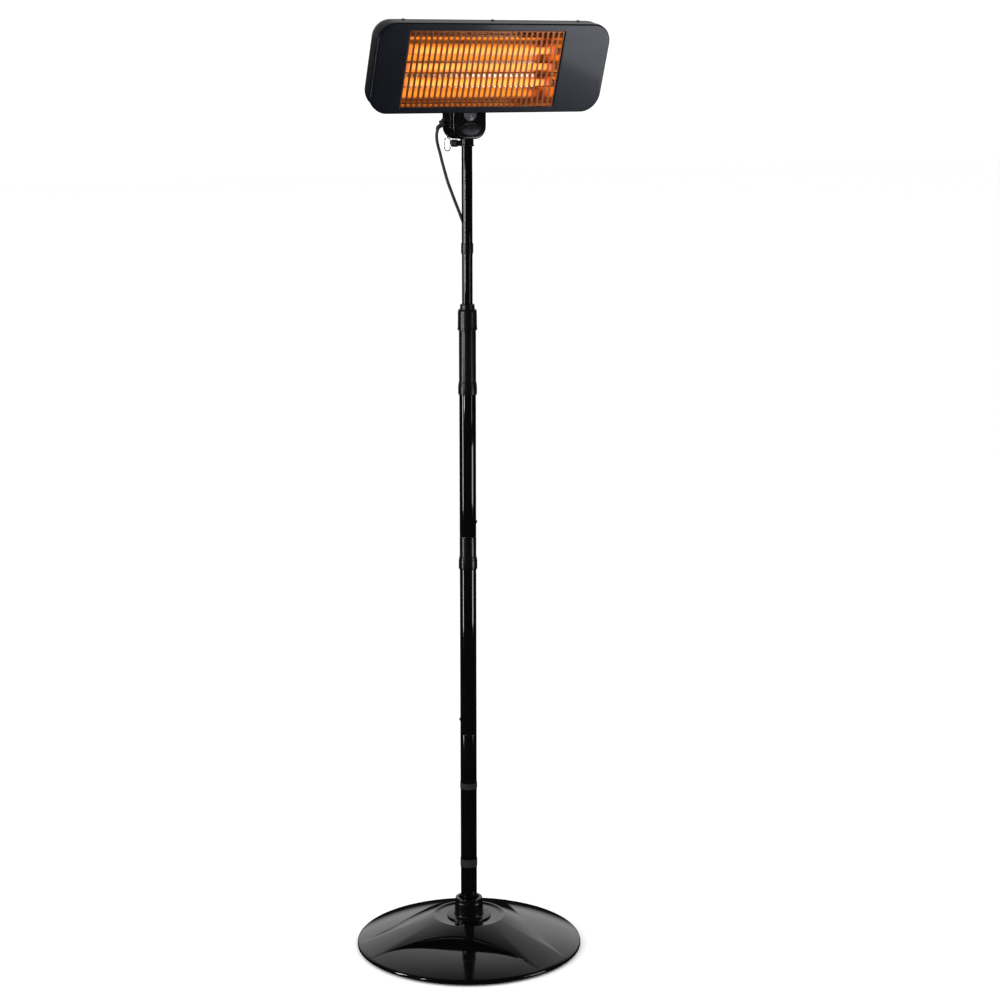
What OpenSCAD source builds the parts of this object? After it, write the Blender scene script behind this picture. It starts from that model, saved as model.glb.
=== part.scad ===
// Free-standing quartz patio heater: a weighted round base, a mast that
// adjusts in height, a swivel knuckle and a tilting three-tube heater head.
// Millimetres, +Z up, origin on the floor under the middle of the base,
// the head looks towards -Y.

/* [Base] */
// Diameter of the round base
base_d = 460; // [380:1:560]
// Wall of the moulded base cover
base_wall = 3; // [2:0.5:4]
// Height of the upright rim of the base cover
rim_h = 8; // [6:1:14]
// Height of the hub ring above the floor
hub_h = 63.5; // [54:0.5:76]
// Diameter of the crest of the hub ring
hub_ring_d = 148; // [130:2:170]
// Distance from the mast to the nearest point of each arched step
arch_reach = 104; // [88:1:125]
// Plan radius of each arched step
arch_r = 354; // [295:1:425]
// Height that the three low lenses would reach at the mast
lens_h = 38.3; // [32:0.1:40]
// How flat the lenses stay before they fall to the rim
lens_power = 3.2; // [2:0.1:4]
// Turn of the base about the mast, in degrees
base_turn = -39; // [-60:1:60]
// Distance of the ballast disc's edge inside the edge of the base
weight_inset = 45; // [36:1:60]
// Thickness of the ballast disc
weight_t = 8.5; // [5:0.1:10.5]
// Height of the rubber feet under the base
foot_h = 4; // [3:0.5:6]
// Diameter of each rubber foot
foot_d = 26; // [18:0.5:32]
// Distance of the feet's circle inside the edge of the base
foot_inset = 23; // [20:0.5:40]
// Number of feet
foot_count = 6; // [3:1:8]

/* [Mast] */
// Outside diameter of the three mast tubes
tube_d = 33; // [27.5:0.1:39.6]
// Wall of the mast tubes
tube_wall = 1.5; // [1:0.1:2]
// How much slimmer the sliding inner tube is than the mast tubes
inner_drop = 12; // [10:0.1:14.4]
// Wall of the inner tube
inner_wall = 1.2; // [1:0.1:1.6]
// Length of the lower tube
lower_len = 383.5; // [320:0.5:462]
// Height of the lower collar above the joint of the lower and middle tubes
middle_len = 343; // [285:1:412]
// Height of the upper collar above the lower collar
upper_len = 352; // [345:1:424]
// Depth of both collars
collar_h = 25; // [20:0.5:30]
// How far both collars stand out from the tubes
collar_out = 2.15; // [1.7:0.05:3]
// Height of the twist lock's lower edge above the upper collar
lock_rise = 128; // [106:1:154]
// How far the twist lock stands out from the tubes
lock_out = 2.15; // [1.7:0.05:3]
// Depth of the twist lock
lock_h = 41; // [34:0.5:50]
// How far the inner tube slides down
slide_travel = 90; // [60:1:108]
// Height of the knuckle's sleeve above the twist lock's lower edge
neck_rise = 357; // [330:1:430]

/* [Knuckle] */
// Width of the knuckle housing
knuckle_w = 71; // [59:0.5:85]
// Radius of the lower corners of the knuckle housing
knuckle_r = 24; // [20:1:26]
// Distance of the housing's front face before the neck sleeve
knuckle_front_gap = 0.5; // [0.5:0.5:3]
// Distance from the mast's axis to the knuckle's back face
knuckle_back_y = 36; // [34:1:44]
// Wall of the knuckle housing
knuckle_wall = 2.5; // [1.8:0.1:3]
// Distance from the mast's axis back to the tilt pivot
pivot_y = 14; // [13:0.5:16]
// Height of the tilt pivot above the lower edge of the knuckle housing
pivot_rise = 87; // [85:0.5:95]
// Diameter of the tilt bolt
pivot_d = 8; // [6:0.2:9.6]

/* [Head] */
// Width of the heater head
head_w = 495; // [412:1:594]
// Height of the heater head
head_h = 175.5; // [160:0.5:210]
// Depth of the heater head
head_depth = 66; // [62:1:79]
// Corner radius of the head
head_r = 38; // [24:1:44]
// Sheet thickness of the front panel and rear shell
sheet_t = 1.5; // [1:0.1:1.8]
// Width of the plain panel left of the grille opening
band_left = 63.5; // [53:0.5:76]
// Width of the plain panel right of the grille opening
band_right = 103.5; // [87:0.5:124]
// Sideways offset of the head from the mast
head_shift = 5; // [-6:0.5:6]
// Height of the plain panel above the grille opening
band_top = 14.5; // [12:0.5:17.5]
// Height of the plain panel below the grille opening
band_low = 12; // [10:0.5:14.5]
// Number of slots in the grille
slot_count = 28; // [22:1:34]
// Width of each upright bar of the grille
bar_w = 4.2; // [2.5:0.1:5]
// Outside diameter of the quartz tubes
quartz_d = 13; // [11:0.2:15]
// Distance between the quartz tubes
quartz_pitch = 31.5; // [26:0.5:37]
// Distance from the front face to the quartz tubes
quartz_y = 19; // [17:0.5:24]
// Forward tilt of the head as it stands, in degrees
head_tilt = 19; // [10:1:24]
// Distance from the flat back of the head to the tilt pivot
pivot_back = 22.7; // [21:0.1:27]
// Height of the tilt pivot above the lower edge of the head
pivot_low = 8; // [6.5:0.25:9.5]

/* [Cord] */
// Diameter of the mains cord
cord_d = 6; // [5:0.1:7.2]
// Width of the stored hank across its end loops
hank_w = 42; // [38:1:46]
// Thickness of the stored hank
hank_t = 25; // [20:1:28]
// Height of the stored hank
hank_h = 147; // [130:1:160]

/* [Hidden] */
$fn = 96;
eps = 0.01;
gap = 0.3; // clearance between pieces that move or stand apart
fit = 0.1; // running clearance on a radius

cord_r = cord_d / 2;

// base
base_r = base_d / 2;
rim_top = foot_h + rim_h;
shoulder = 4; // width of the rounded shoulder above the rim
cone_foot_r = base_r - shoulder;
hub_r = hub_ring_d / 2;
hub_floor_r = hub_r - 8;
hub_floor_z = hub_h - 3.5;
cone_step = 0.4; // the lenses meet the rim this far below the cone
tray_t = 2.5;
tray_top = foot_h + tray_t;
weight_top = tray_top + weight_t;
lens_low = rim_top - cone_step; // height of the lenses at the foot of the cone
bolt_d = 9.6;
spacer_r = 26;
socket_z = hub_floor_z;
socket_flange_t = 3.5;
socket_h = 40.5;
socket_floor = 6;
feet_turn = base_turn - 5;

// mast
tube_r = tube_d / 2;
socket_top_r = tube_r + 10.8;
socket_neck_r = socket_top_r + 1.2;
socket_r = socket_top_r + 2.7;
socket_flange_r = socket_r + 15;
tube_bore = tube_r - tube_wall;
joiner_r = tube_bore - 0.1;
joiner_bore = joiner_r - 1.5;
collar_r = tube_r + collar_out;
lock_r = tube_r + lock_out;
sleeve_h = 41; // reach of the lower collar's sleeve above its ring
tube_floor = socket_z + socket_floor;
lower_joint_z = tube_floor + lower_len;
lower_collar_z = lower_joint_z + middle_len;
upper_collar_z = lower_collar_z + upper_len;
upper_joint_z = lower_collar_z + collar_h + sleeve_h;
lock_z = upper_collar_z + lock_rise;
button_rise = 30; // height of each snap button above its joint
button_r = 3;
button_out = 2.2;
button_travel = 2.2;
lower_button_z = lower_joint_z + button_rise;
upper_button_z = upper_joint_z + button_rise;
lower_button_turn = 152;
upper_button_turn = -28;
inner_r = (tube_d - inner_drop) / 2;
inner_bore = inner_r - inner_wall;
lock_top = lock_z + lock_h;
stub_top = lock_top - 9;
stub_r = tube_r - 1.65;
collet_r = (inner_r + gap + stub_r) / 2 + gap;
collet_top_r = stub_r - 0.55;
collet_top = lock_top + 10;
clip_z = collet_top + slide_travel + 8;
clip_h = 21;
clip_r = inner_r + 1.4;
lock_foot = upper_collar_z - 30; // lower end of the lock body inside the tube
bush_h = 28;
inner_foot = lock_foot - bush_h - 52;
neck_z = lock_z + neck_rise;
inner_top = neck_z + 45;

// knuckle
half_w = knuckle_w / 2;
knuckle_z = neck_z + 13;
pivot_z = knuckle_z + pivot_rise;
seam_y = 1; // plane where the front and back housings meet
housing_top = knuckle_z + 67;
neck_r = inner_r + 2.5;
neck_slim_r = inner_r + fit + 0.9;
knuckle_front_y = neck_r + knuckle_front_gap;
ear_in = 20;
ear_out = 27;
ear_r = 13;
lens_r = 13.5;
lens_z = knuckle_z + 48;
cap_z = knuckle_z + 19;
cap_half_w = half_w - 12;
cap_half_h = 13;
knob_turn = 140;
knob_z = neck_z + 5;
knob_r = 7.5;
loop_x = 7.5 - half_w;
loop_y = 28;
loop_wire = 0.9;
loop_half = 5.5;
loop_out = loop_x * cos(knob_turn) + loop_y * sin(knob_turn); // the eye's distance along the knob's axis
knob_end = loop_out - loop_half - loop_wire - 1; // the grip ends just before the eye
loop_top = knuckle_z + 2;
loop_run = 14;
loop_travel = 8;
switch_foot = knuckle_z + 18;
switch_h = 14;
stop_z = knuckle_z + 29; // flange of the loop's stem inside the switch
screw_half = half_w - 9.5;
screw_z = knuckle_z + 52;
gland_x = -half_w;
gland_y = 27;
gland_z = knuckle_z + 36;
gland_dip = 53; // degrees that the strain relief points below level
gland_r = cord_r + 2.2;
nut_r = gland_r + 1.8;
gland_len = 24.2;
gland_end = [gland_x - gland_len * cos(gland_dip), gland_y,
    gland_z - gland_len * sin(gland_dip)];

// head, measured from the middle of the front face, +Y into the head
wall_depth = 38; // depth of the straight side walls
wall_draft = 3.5; // how far the side walls lean in over that depth
back_inset = 30; // inset of the flat back
trough_depth = 46;
trough_t = 0.8;
window_w = head_w - band_left - band_right;
window_h = head_h - band_top - band_low;
window_x = (band_left - band_right) / 2;
window_z = (band_low - band_top) / 2;
mouth_h = window_h + 1;
mouth_w = window_w + 4;
cap_len = 24;
quartz_zs = [quartz_pitch - 2.5, -2.5, -quartz_pitch - 2.5];
quartz_half = mouth_w / 2 + 14;
coil_half = window_w / 2 - 14;
coil_r = 4.2;
screw_x = [60 - head_w / 2, window_x + 20, head_w / 2 - 61];
vent_pitch = window_w / 13.6;
screw_depth = 30;
lug_r = 12;
bracket_t = 3;
bracket_half = 30;
bracket_low = 31 - head_h / 2;
bracket_high = bracket_low + 37;
// distance, along the head's depth, from the pivot to the bracket's plate
lug_reach = bracket_t / 2 - pivot_back;

// cord: points chosen by hand
rear_turn = 62; // the cord runs down this side of the mast
clip_reach = clip_r + cord_r + 1.4;
run_gap = 0.2; // between the cord and the widest part of the twist lock
lock_foot_r = lock_r + 0.9;
run_reach = lock_foot_r + run_gap + cord_r;
clip_end = [clip_reach * cos(rear_turn), clip_reach * sin(rear_turn),
    clip_z + clip_h + 0.6];
// the free length between the strain relief and the clip
upper_points = [[-50, 27, 1659.5], [-51, 28, 1653.5], [-51, 28.5, 1646.5],
    [-50, 28.5, 1637.5], [-47.5, 28, 1626.5], [-44, 27, 1613.5], [-40, 26.5, 1597.5],
    [-35, 25.5, 1579.5], [-30, 24, 1561.5], [-23.5, 22.5, 1543.5], [-17, 20.5, 1525.5],
    [-10.5, 18.5, 1508.5], [-4, 17, 1491.5], [1.5, 15.5, 1475.5], [5.5, 15, 1460.5],
    [7.5, 14.5, 1447.5], [7.5, 14.5, 1443.1]];
upper_last = len(upper_points) - 1;
// both ends follow what holds them, and the points between share the shift
upper_route = [for (i = [0 : upper_last]) upper_points[i]
    + (gland_end - upper_points[0]) * (1 - i / upper_last)
    + (clip_end - upper_points[upper_last]) * i / upper_last];
// share of the way out from the clip to the run, and height from the clip's foot
clip_steps = [[0, 21.3], [0, -7], [0.03, -27], [0.31, -49], [0.73, -71],
    [0.97, -87], [1, -107]];
run_count = 10;
hank_in = run_reach - cord_r - 0.1; // nearest reach of the hank from the mast's axis
hank_foot = socket_z + socket_h + 2; // the hank stands just above the socket's rim
run_top = clip_z - 107;
run_foot = hank_foot + hank_h - 5.8;
lower_route = concat(
    [for (p = clip_steps)
        [clip_reach + p[0] * (run_reach - clip_reach), 0, clip_z + p[1]]],
    [for (i = [1 : run_count])
        [run_reach, 0, run_top + (run_foot - run_top) * i / run_count]]);
plug_reach = run_reach + cord_r + 12.5;
plug_foot = hank_foot + hank_h + 55;
tail_steps = [[8, -56], [7, -46], [4, -34], [1, -22], [0, -10], [0, 0]];
tail_route = [for (p = tail_steps) [plug_reach + p[0], 0, plug_foot + p[1]]];
strap_t = 0.8;

// ---- shared helpers ----

function lens_at(r) = lens_low + (lens_h - lens_low) * (1 - pow(r / cone_foot_r, lens_power));

function unit(v) = v / norm(v);

function along(path, i) = unit(path[min(i + 1, len(path) - 1)]
    - path[max(i - 1, 0)]);

function side_of(t) = unit(cross(t, abs(t[2]) > 0.9 ? [0, 1, 0] : [0, 0, 1]));

function tube_ring(path, i, r, sides) = let (
        t = along(path, i),
        u = side_of(t),
        w = cross(t, u))
    [for (k = [0 : sides - 1]) let (a = 360 * k / sides)
        path[i] + r * (cos(a) * u + sin(a) * w)];

// One closed tube swept along a list of points.
module swept_tube(path, r, sides = 10) {
    n = len(path);
    last = (n - 1) * sides;
    points = [for (i = [0 : n - 1]) each tube_ring(path, i, r, sides)];
    walls = [for (i = [0 : n - 2]) for (k = [0 : sides - 1])
        let (j = (k + 1) % sides, a = i * sides, b = a + sides)
        [b + k, b + j, a + j, a + k]];
    foot = [for (k = [0 : sides - 1]) k];
    head = [for (k = [0 : sides - 1]) last + sides - 1 - k];
    polyhedron(points, concat(walls, [foot, head]));
}

module ring(r_out, r_in, h) {
    difference() {
        cylinder(r = r_out, h = h);
        translate([0, 0, -1])
            cylinder(r = r_in, h = h + 2);
    }
}

// A rod of radius r along X, centred on the origin.
module x_rod(r, length, sides = $fn) {
    rotate([0, 90, 0])
        cylinder(r = r, h = length, center = true, $fn = sides);
}

// A rod of radius r along +Y, starting on the origin.
module y_rod(r, length) {
    rotate([-90, 0, 0])
        cylinder(r = r, h = length);
}

module on_rear() {
    rotate([0, 0, rear_turn])
        children();
}

// ---- base ----

module cone_solid(inset, foot) {
    rotate_extrude($fn = 180)
        polygon([[0, foot], [base_r - inset, foot],
            [base_r - inset, rim_top - shoulder - inset],
            [base_r - shoulder * 0.3 - inset, rim_top - shoulder * 0.4 - inset],
            [cone_foot_r - inset, rim_top - inset],
            [hub_r + inset / 3, hub_h - inset],
            [hub_r - 2, hub_h - inset],
            [hub_floor_r - inset, hub_floor_z - inset],
            [0, hub_floor_z - inset]]);
}

module lens_solid(inset, foot) {
    steps = 12;
    rotate_extrude($fn = 180)
        polygon(concat([[0, foot], [base_r - inset, foot],
            [base_r - inset, rim_top - shoulder - cone_step - inset],
            [base_r - shoulder * 0.3 - inset, rim_top - shoulder * 0.4 - cone_step - inset]],
            [for (i = [0 : steps]) let (r = cone_foot_r * (1 - i / steps))
                [max(r - inset, 0), lens_at(r) - inset]]));
}

module arch_cuts(inset) {
    for (k = [0 : 2])
        rotate([0, 0, base_turn + 120 * k])
            translate([0, -arch_reach - arch_r, -1])
                cylinder(r = arch_r + inset, h = 120, $fn = 360);
}

module dome(inset, foot) {
    union() {
        difference() {
            cone_solid(inset, foot);
            arch_cuts(inset);
        }
        lens_solid(inset, foot);
    }
}

module base_cover() {
    color([0.04, 0.04, 0.045])
        difference() {
            dome(0, foot_h);
            dome(base_wall, foot_h - 1);
            cylinder(r = bolt_d / 2 + 0.4, h = hub_h + 5);
        }
}

module base_tray() {
    color([0.06, 0.06, 0.06])
        translate([0, 0, foot_h])
            ring(cone_foot_r - base_wall, bolt_d / 2 + 0.4, tray_t);
}

module base_weight() {
    color([0.3, 0.3, 0.31])
        translate([0, 0, tray_top])
            ring(base_r - weight_inset, bolt_d / 2 + 0.4, weight_t);
}

module rubber_feet() {
    color([0.05, 0.05, 0.05])
        for (k = [0 : foot_count - 1])
            rotate([0, 0, feet_turn + 360 / foot_count * k])
                translate([0, foot_inset - base_r, 0])
                    cylinder(r1 = foot_d / 2 - 1, r2 = foot_d / 2, h = foot_h);
}

module hub_spacer() {
    color([0.45, 0.45, 0.46])
        translate([0, 0, weight_top])
            ring(spacer_r, bolt_d / 2 + 0.4, hub_floor_z - base_wall - weight_top);
}

module mast_socket() {
    color([0.03, 0.03, 0.035])
        rotate_extrude()
            polygon([[bolt_d / 2 + 0.4, socket_z], [socket_flange_r, socket_z],
                [socket_flange_r, socket_z + socket_flange_t - 1.5],
                [socket_flange_r - 1.5, socket_z + socket_flange_t],
                [socket_r + 1.5, socket_z + socket_flange_t],
                [socket_r, socket_z + socket_flange_t + 1.5],
                [socket_neck_r, socket_z + socket_h - 9],
                [socket_top_r + 0.5, socket_z + socket_h - 6],
                [socket_top_r, socket_z + socket_h - 1.5],
                [socket_top_r - 1.5, socket_z + socket_h],
                [tube_r + 4, socket_z + socket_h],
                [tube_r + 0.15, socket_z + socket_h - 9],
                [tube_r + 0.15, tube_floor],
                [bolt_d / 2 + 0.4, tube_floor]]);
}

module centre_bolt() {
    color([0.6, 0.6, 0.62])
        union() {
            translate([0, 0, 0.8])
                cylinder(r = 9, h = foot_h - 0.8);
            translate([0, 0, 1])
                cylinder(r = bolt_d / 2, h = tube_floor + 12);
        }
}

module centre_nut() {
    color([0.6, 0.6, 0.62])
        translate([0, 0, tube_floor])
            difference() {
                cylinder(r = 8.6, h = 7, $fn = 6);
                translate([0, 0, -1])
                    cylinder(r = bolt_d / 2 + 0.05, h = 9);
            }
}

// ---- mast ----

module button_bore(z, turn, r) {
    translate([0, 0, z])
        rotate([0, 0, turn])
            rotate([0, 90, 0])
                cylinder(r = r, h = tube_d, $fn = 48);
}

module lower_tube() {
    color([0.03, 0.03, 0.035])
        translate([0, 0, tube_floor])
            ring(tube_r, tube_bore, lower_joint_z - tube_floor);
}

module lower_joiner() {
    color([0.2, 0.2, 0.21])
        difference() {
            translate([0, 0, lower_joint_z - 60])
                ring(joiner_r, joiner_bore, 130);
            button_bore(lower_button_z, lower_button_turn, button_r + gap);
        }
}

module middle_tube() {
    color([0.03, 0.03, 0.035])
        difference() {
            translate([0, 0, lower_joint_z + 0.6])
                ring(tube_r, tube_bore, lower_collar_z + 20 - lower_joint_z);
            button_bore(lower_button_z, lower_button_turn, button_r + gap);
        }
}

module lower_collar() {
    z0 = lower_collar_z;
    z1 = lower_collar_z + collar_h;
    bore = tube_r + 0.1;
    color([0.025, 0.025, 0.03])
        rotate_extrude()
            polygon([[bore, z0], [collar_r - 1, z0], [collar_r, z0 + 1],
                [collar_r, z1 - 3], [collar_r - 1.6, z1], [bore, z1],
                [bore, upper_joint_z - 0.8], [bore - 0.6, upper_joint_z],
                [tube_bore, upper_joint_z], [tube_bore, z0 + 21],
                [bore, z0 + 21]]);
}

module upper_joiner() {
    color([0.2, 0.2, 0.21])
        difference() {
            translate([0, 0, lower_collar_z - 20])
                ring(joiner_r, joiner_bore, upper_joint_z + 60 - lower_collar_z + 20);
            button_bore(upper_button_z, upper_button_turn, button_r + gap);
        }
}

module upper_tube() {
    color([0.03, 0.03, 0.035])
        difference() {
            translate([0, 0, upper_joint_z + 0.6])
                ring(tube_r, tube_bore, upper_collar_z + 12 - upper_joint_z);
            button_bore(upper_button_z, upper_button_turn, button_r + gap);
        }
}

// Upper collar, slim sleeve and threaded stub of the twist lock in one moulding.
module lock_body() {
    z0 = upper_collar_z;
    z1 = upper_collar_z + collar_h;
    bore = inner_r + gap;
    tube_gap = tube_r + 0.1;
    color([0.03, 0.03, 0.035])
        rotate_extrude()
            polygon([[bore, lock_foot], [joiner_r, lock_foot], [joiner_r, z0 + 13],
                [tube_gap, z0 + 13], [tube_gap, z0], [collar_r - 1, z0],
                [collar_r, z0 + 1], [collar_r, z1 - 3], [collar_r - 1.6, z1],
                [tube_r + 0.3, z1], [tube_r + 0.3, lock_z - gap],
                [stub_r, lock_z - gap], [stub_r, stub_top],
                [collet_r + 0.2, stub_top], [collet_r + 0.2, lock_z + 8],
                [bore, lock_z + 5]]);
}

module collet() {
    color([0.03, 0.03, 0.035])
        difference() {
            rotate_extrude()
                polygon([[inner_r + gap, lock_z + 10], [collet_r, lock_z + 10],
                    [collet_r, stub_top + gap], [collet_top_r, stub_top + gap],
                    [collet_top_r, collet_top - 1.5], [collet_top_r - 1, collet_top],
                    [inner_r + gap, collet_top]]);
            for (k = [0 : 1])
                rotate([0, 0, 90 * k + 17])
                    translate([-20, -0.75, lock_z + 5])
                        cube([40, 1.5, stub_top - lock_z]);
        }
}

module lock_collar() {
    color([0.03, 0.03, 0.035])
        rotate_extrude()
            polygon([[stub_r + gap, lock_z], [lock_r + 0.6, lock_z],
                [lock_foot_r, lock_z + 1.5], [lock_r + 0.4, lock_z + 5],
                [lock_r - 0.2, lock_top - 2], [lock_r - 1.6, lock_top],
                [collet_top_r + gap, lock_top], [collet_top_r + gap, stub_top + 2.5],
                [stub_r + gap, stub_top + 1.5]]);
}

module inner_tube() {
    color([0.03, 0.03, 0.035])
        translate([0, 0, inner_foot])
            ring(inner_r, inner_bore, inner_top - inner_foot);
}

module glide_bush() {
    color([0.75, 0.75, 0.72])
        translate([0, 0, inner_foot])
            ring(tube_bore - gap, inner_r + 0.05, bush_h);
}

module cord_clip() {
    color([0.025, 0.025, 0.03])
        translate([0, 0, clip_z])
            difference() {
                union() {
                    rotate_extrude()
                        polygon([[inner_r + 0.05, 0], [clip_r - 0.6, 0],
                            [clip_r, 2.5], [clip_r, clip_h - 2.5],
                            [clip_r - 0.6, clip_h], [inner_r + 0.05, clip_h]]);
                    on_rear()
                        translate([clip_reach, 0, 0])
                            difference() {
                                cylinder(r = cord_r + 2, h = clip_h);
                                translate([-clip_reach, 0, -1])
                                    cylinder(r = inner_r + 0.5, h = clip_h + 2);
                            }
                }
                on_rear()
                    translate([clip_reach, 0, -1])
                        cylinder(r = cord_r + gap, h = clip_h + 2);
                on_rear()
                    translate([clip_reach, 0, -1])
                        rotate([0, 0, 20])
                            translate([0, -2.2, 0])
                                cube([8, 4.4, clip_h + 2]);
            }
}

// A sprung button in its local frame: it slides along X, its tip at +X.
module snap_button(z, turn) {
    color([0.7, 0.7, 0.72])
        translate([0, 0, z])
            rotate([0, 0, turn])
                union() {
                    rotate([0, 90, 0])
                        rotate_extrude($fn = 48)
                            polygon([[0, joiner_bore - 2.5], [button_r + 1.4, joiner_bore - 2.5],
                                [button_r + 1.4, joiner_bore - 1.2],
                                [button_r, joiner_bore - 1.2],
                                [button_r, tube_r + button_out - 1],
                                [button_r - 0.9, tube_r + button_out],
                                [0, tube_r + button_out]]);
                    translate([joiner_bore - 3.6, -4, -34])
                        cube([1, 8, 40]);
                    translate([joiner_bore - 3.7, -2.5, -2.5])
                        cube([1.4, 5, 5]);
                }
}

module snap_button_lower() {
    snap_button(lower_button_z, lower_button_turn);
}

module snap_button_upper() {
    snap_button(upper_button_z, upper_button_turn);
}

// ---- cord ----

module cord_upper() {
    color([0.04, 0.04, 0.04])
        swept_tube(upper_route, cord_r);
}

module cord_lower() {
    color([0.04, 0.04, 0.04])
        on_rear()
            swept_tube(lower_route, cord_r);
}

module cord_tail() {
    color([0.04, 0.04, 0.04])
        on_rear()
            swept_tube(tail_route, cord_r);
}

// The wound length: an outline with round ends, standing behind the mast.
module cord_hank() {
    r = hank_w / 2;
    mid = hank_in + r;
    color([0.05, 0.05, 0.05])
        on_rear()
            rotate([90, 0, 0])
                translate([0, 0, -hank_t / 2])
                    linear_extrude(height = hank_t)
                        union() {
                            translate([mid, hank_foot + r])
                                circle(r = r);
                            translate([mid, hank_foot + hank_h - r])
                                circle(r = r);
                            translate([mid - r, hank_foot + r])
                                square([hank_w, hank_h - hank_w]);
                        }
}

// Strap around the mast and what is tied to it, as a flat band.
module strap(z, reach, half_t, h) {
    t = strap_t;
    color([0.08, 0.08, 0.08])
        on_rear()
            translate([0, 0, z])
                difference() {
                    union() {
                        cylinder(r = tube_r + 0.05 + t, h = h);
                        translate([0, -half_t - t, 0])
                            cube([reach + t, 2 * (half_t + t), h]);
                    }
                    translate([0, 0, -1])
                        cylinder(r = tube_r + 0.05, h = h + 2);
                    translate([0, -half_t, -1])
                        cube([reach, 2 * half_t, h + 2]);
                }
}

module hank_straps() {
    strap(hank_foot + hank_h / 2 - 8, hank_in + hank_w + 0.4, hank_t / 2 + 0.4, 16);
    strap(plug_foot + 30, plug_reach + 11.4, 13.4, 12);
}

// A straight moulded plug with two flat blades and a round earth pin.
module plug() {
    color([0.04, 0.04, 0.04])
        on_rear()
            translate([plug_reach, 0, plug_foot])
                union() {
                    cylinder(r1 = cord_r + 0.6, r2 = cord_r + 2.4, h = 24);
                    translate([-11, -13, 22])
                        cube([22, 26, 30]);
                    translate([-9, -11, 51])
                        cube([18, 22, 4]);
                    for (s = [-1, 1])
                        translate([-4.2, 6.35 * s - 0.75, 54])
                            cube([6.4, 1.5, 17]);
                    translate([6, 0, 54])
                        cylinder(r = 2.4, h = 19, $fn = 32);
                }
}

// ---- knuckle ----

// U-shaped outline in X and Z: straight sides, two round lower corners.
module u_outline(inset, top) {
    w = half_w - inset;
    r = knuckle_r - inset;
    low = knuckle_z + inset;
    cx = half_w - knuckle_r;
    union() {
        translate([-w, knuckle_z + knuckle_r])
            square([2 * w, top - knuckle_z - knuckle_r]);
        translate([-cx, low])
            square([2 * cx, r + eps]);
        for (s = [-1, 1])
            translate([s * cx, knuckle_z + knuckle_r])
                circle(r = r);
    }
}

// The U outline as a block between two values of Y.
module u_block(inset, top, y0, y1) {
    translate([0, y1, 0])
        rotate([90, 0, 0])
            linear_extrude(height = y1 - y0)
                u_outline(inset, top);
}

module neck_bore() {
    translate([0, 0, neck_z - 5])
        cylinder(r = neck_slim_r + 0.1, h = inner_top - neck_z + 12);
}

module gland_axis() {
    translate([gland_x, gland_y, gland_z])
        rotate([0, -90 - gland_dip, 0])
            children();
}

module knuckle_back() {
    color([0.07, 0.07, 0.075])
        difference() {
            union() {
                u_block(0, housing_top, seam_y, knuckle_back_y);
                for (s = [-1, 1])
                    translate([s * (ear_in + ear_out) / 2 - (ear_out - ear_in) / 2, 0, 0])
                        union() {
                            translate([0, pivot_y - ear_r, housing_top - 4])
                                cube([ear_out - ear_in, 2 * ear_r, pivot_z - housing_top + 4]);
                            translate([(ear_out - ear_in) / 2, pivot_y, pivot_z])
                                x_rod(ear_r, ear_out - ear_in);
                        }
            }
            u_block(knuckle_wall, housing_top - knuckle_wall, seam_y - 1,
                knuckle_back_y - knuckle_wall);
            neck_bore();
            translate([0, pivot_y, pivot_z])
                x_rod(pivot_d / 2 + 0.05, 80);
            gland_axis()
                union() {
                    translate([0, 0, -12])
                        cylinder(r = gland_r + fit, h = 30);
                    translate([0, 0, 4.8])
                        cylinder(r = nut_r + gap, h = 12);
                }
            translate([loop_x, loop_y, knuckle_z])
                cylinder(r = 1.5, h = switch_foot - knuckle_z, $fn = 32);
            for (s = [-1, 1])
                translate([s * screw_half, knuckle_back_y - 8, screw_z])
                    y_rod(1.8, 12);
        }
}

module knuckle_front() {
    color([0.05, 0.05, 0.055])
        difference() {
            union() {
                difference() {
                    u_block(0, housing_top, -knuckle_front_y, seam_y - 0.2);
                    u_block(knuckle_wall, housing_top - knuckle_wall,
                        -knuckle_front_y + 1.8, seam_y + 1);
                }
                for (s = [-1, 1])
                    translate([s * screw_half, 1 - knuckle_front_y, screw_z])
                        y_rod(3.4, 25 + knuckle_front_y);
            }
            for (s = [-1, 1])
                translate([s * screw_half, 18, screw_z])
                    y_rod(1.65, 12);
            neck_bore();
            translate([0, -knuckle_front_y - 1, lens_z])
                y_rod(lens_r + 0.15, 2);
        }
}

module pilot_lens() {
    color([0.55, 0.55, 0.57])
        translate([0, -knuckle_front_y, lens_z])
            rotate([90, 0, 0])
                rotate_extrude()
                    polygon([[0, -0.9], [lens_r, -0.9], [lens_r, 0.8],
                        [lens_r * 0.75, 1.9], [lens_r * 0.4, 2.6], [0, 2.9]]);
}

module oval_cap() {
    color([0.4, 0.4, 0.42])
        translate([0, -knuckle_front_y, cap_z])
            rotate([90, 0, 0])
                linear_extrude(height = 2)
                    polygon([for (a = [0 : 7.5 : 352.5])
                        [cap_half_w * cos(a), cap_half_h * sin(a)]]);
}

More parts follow.
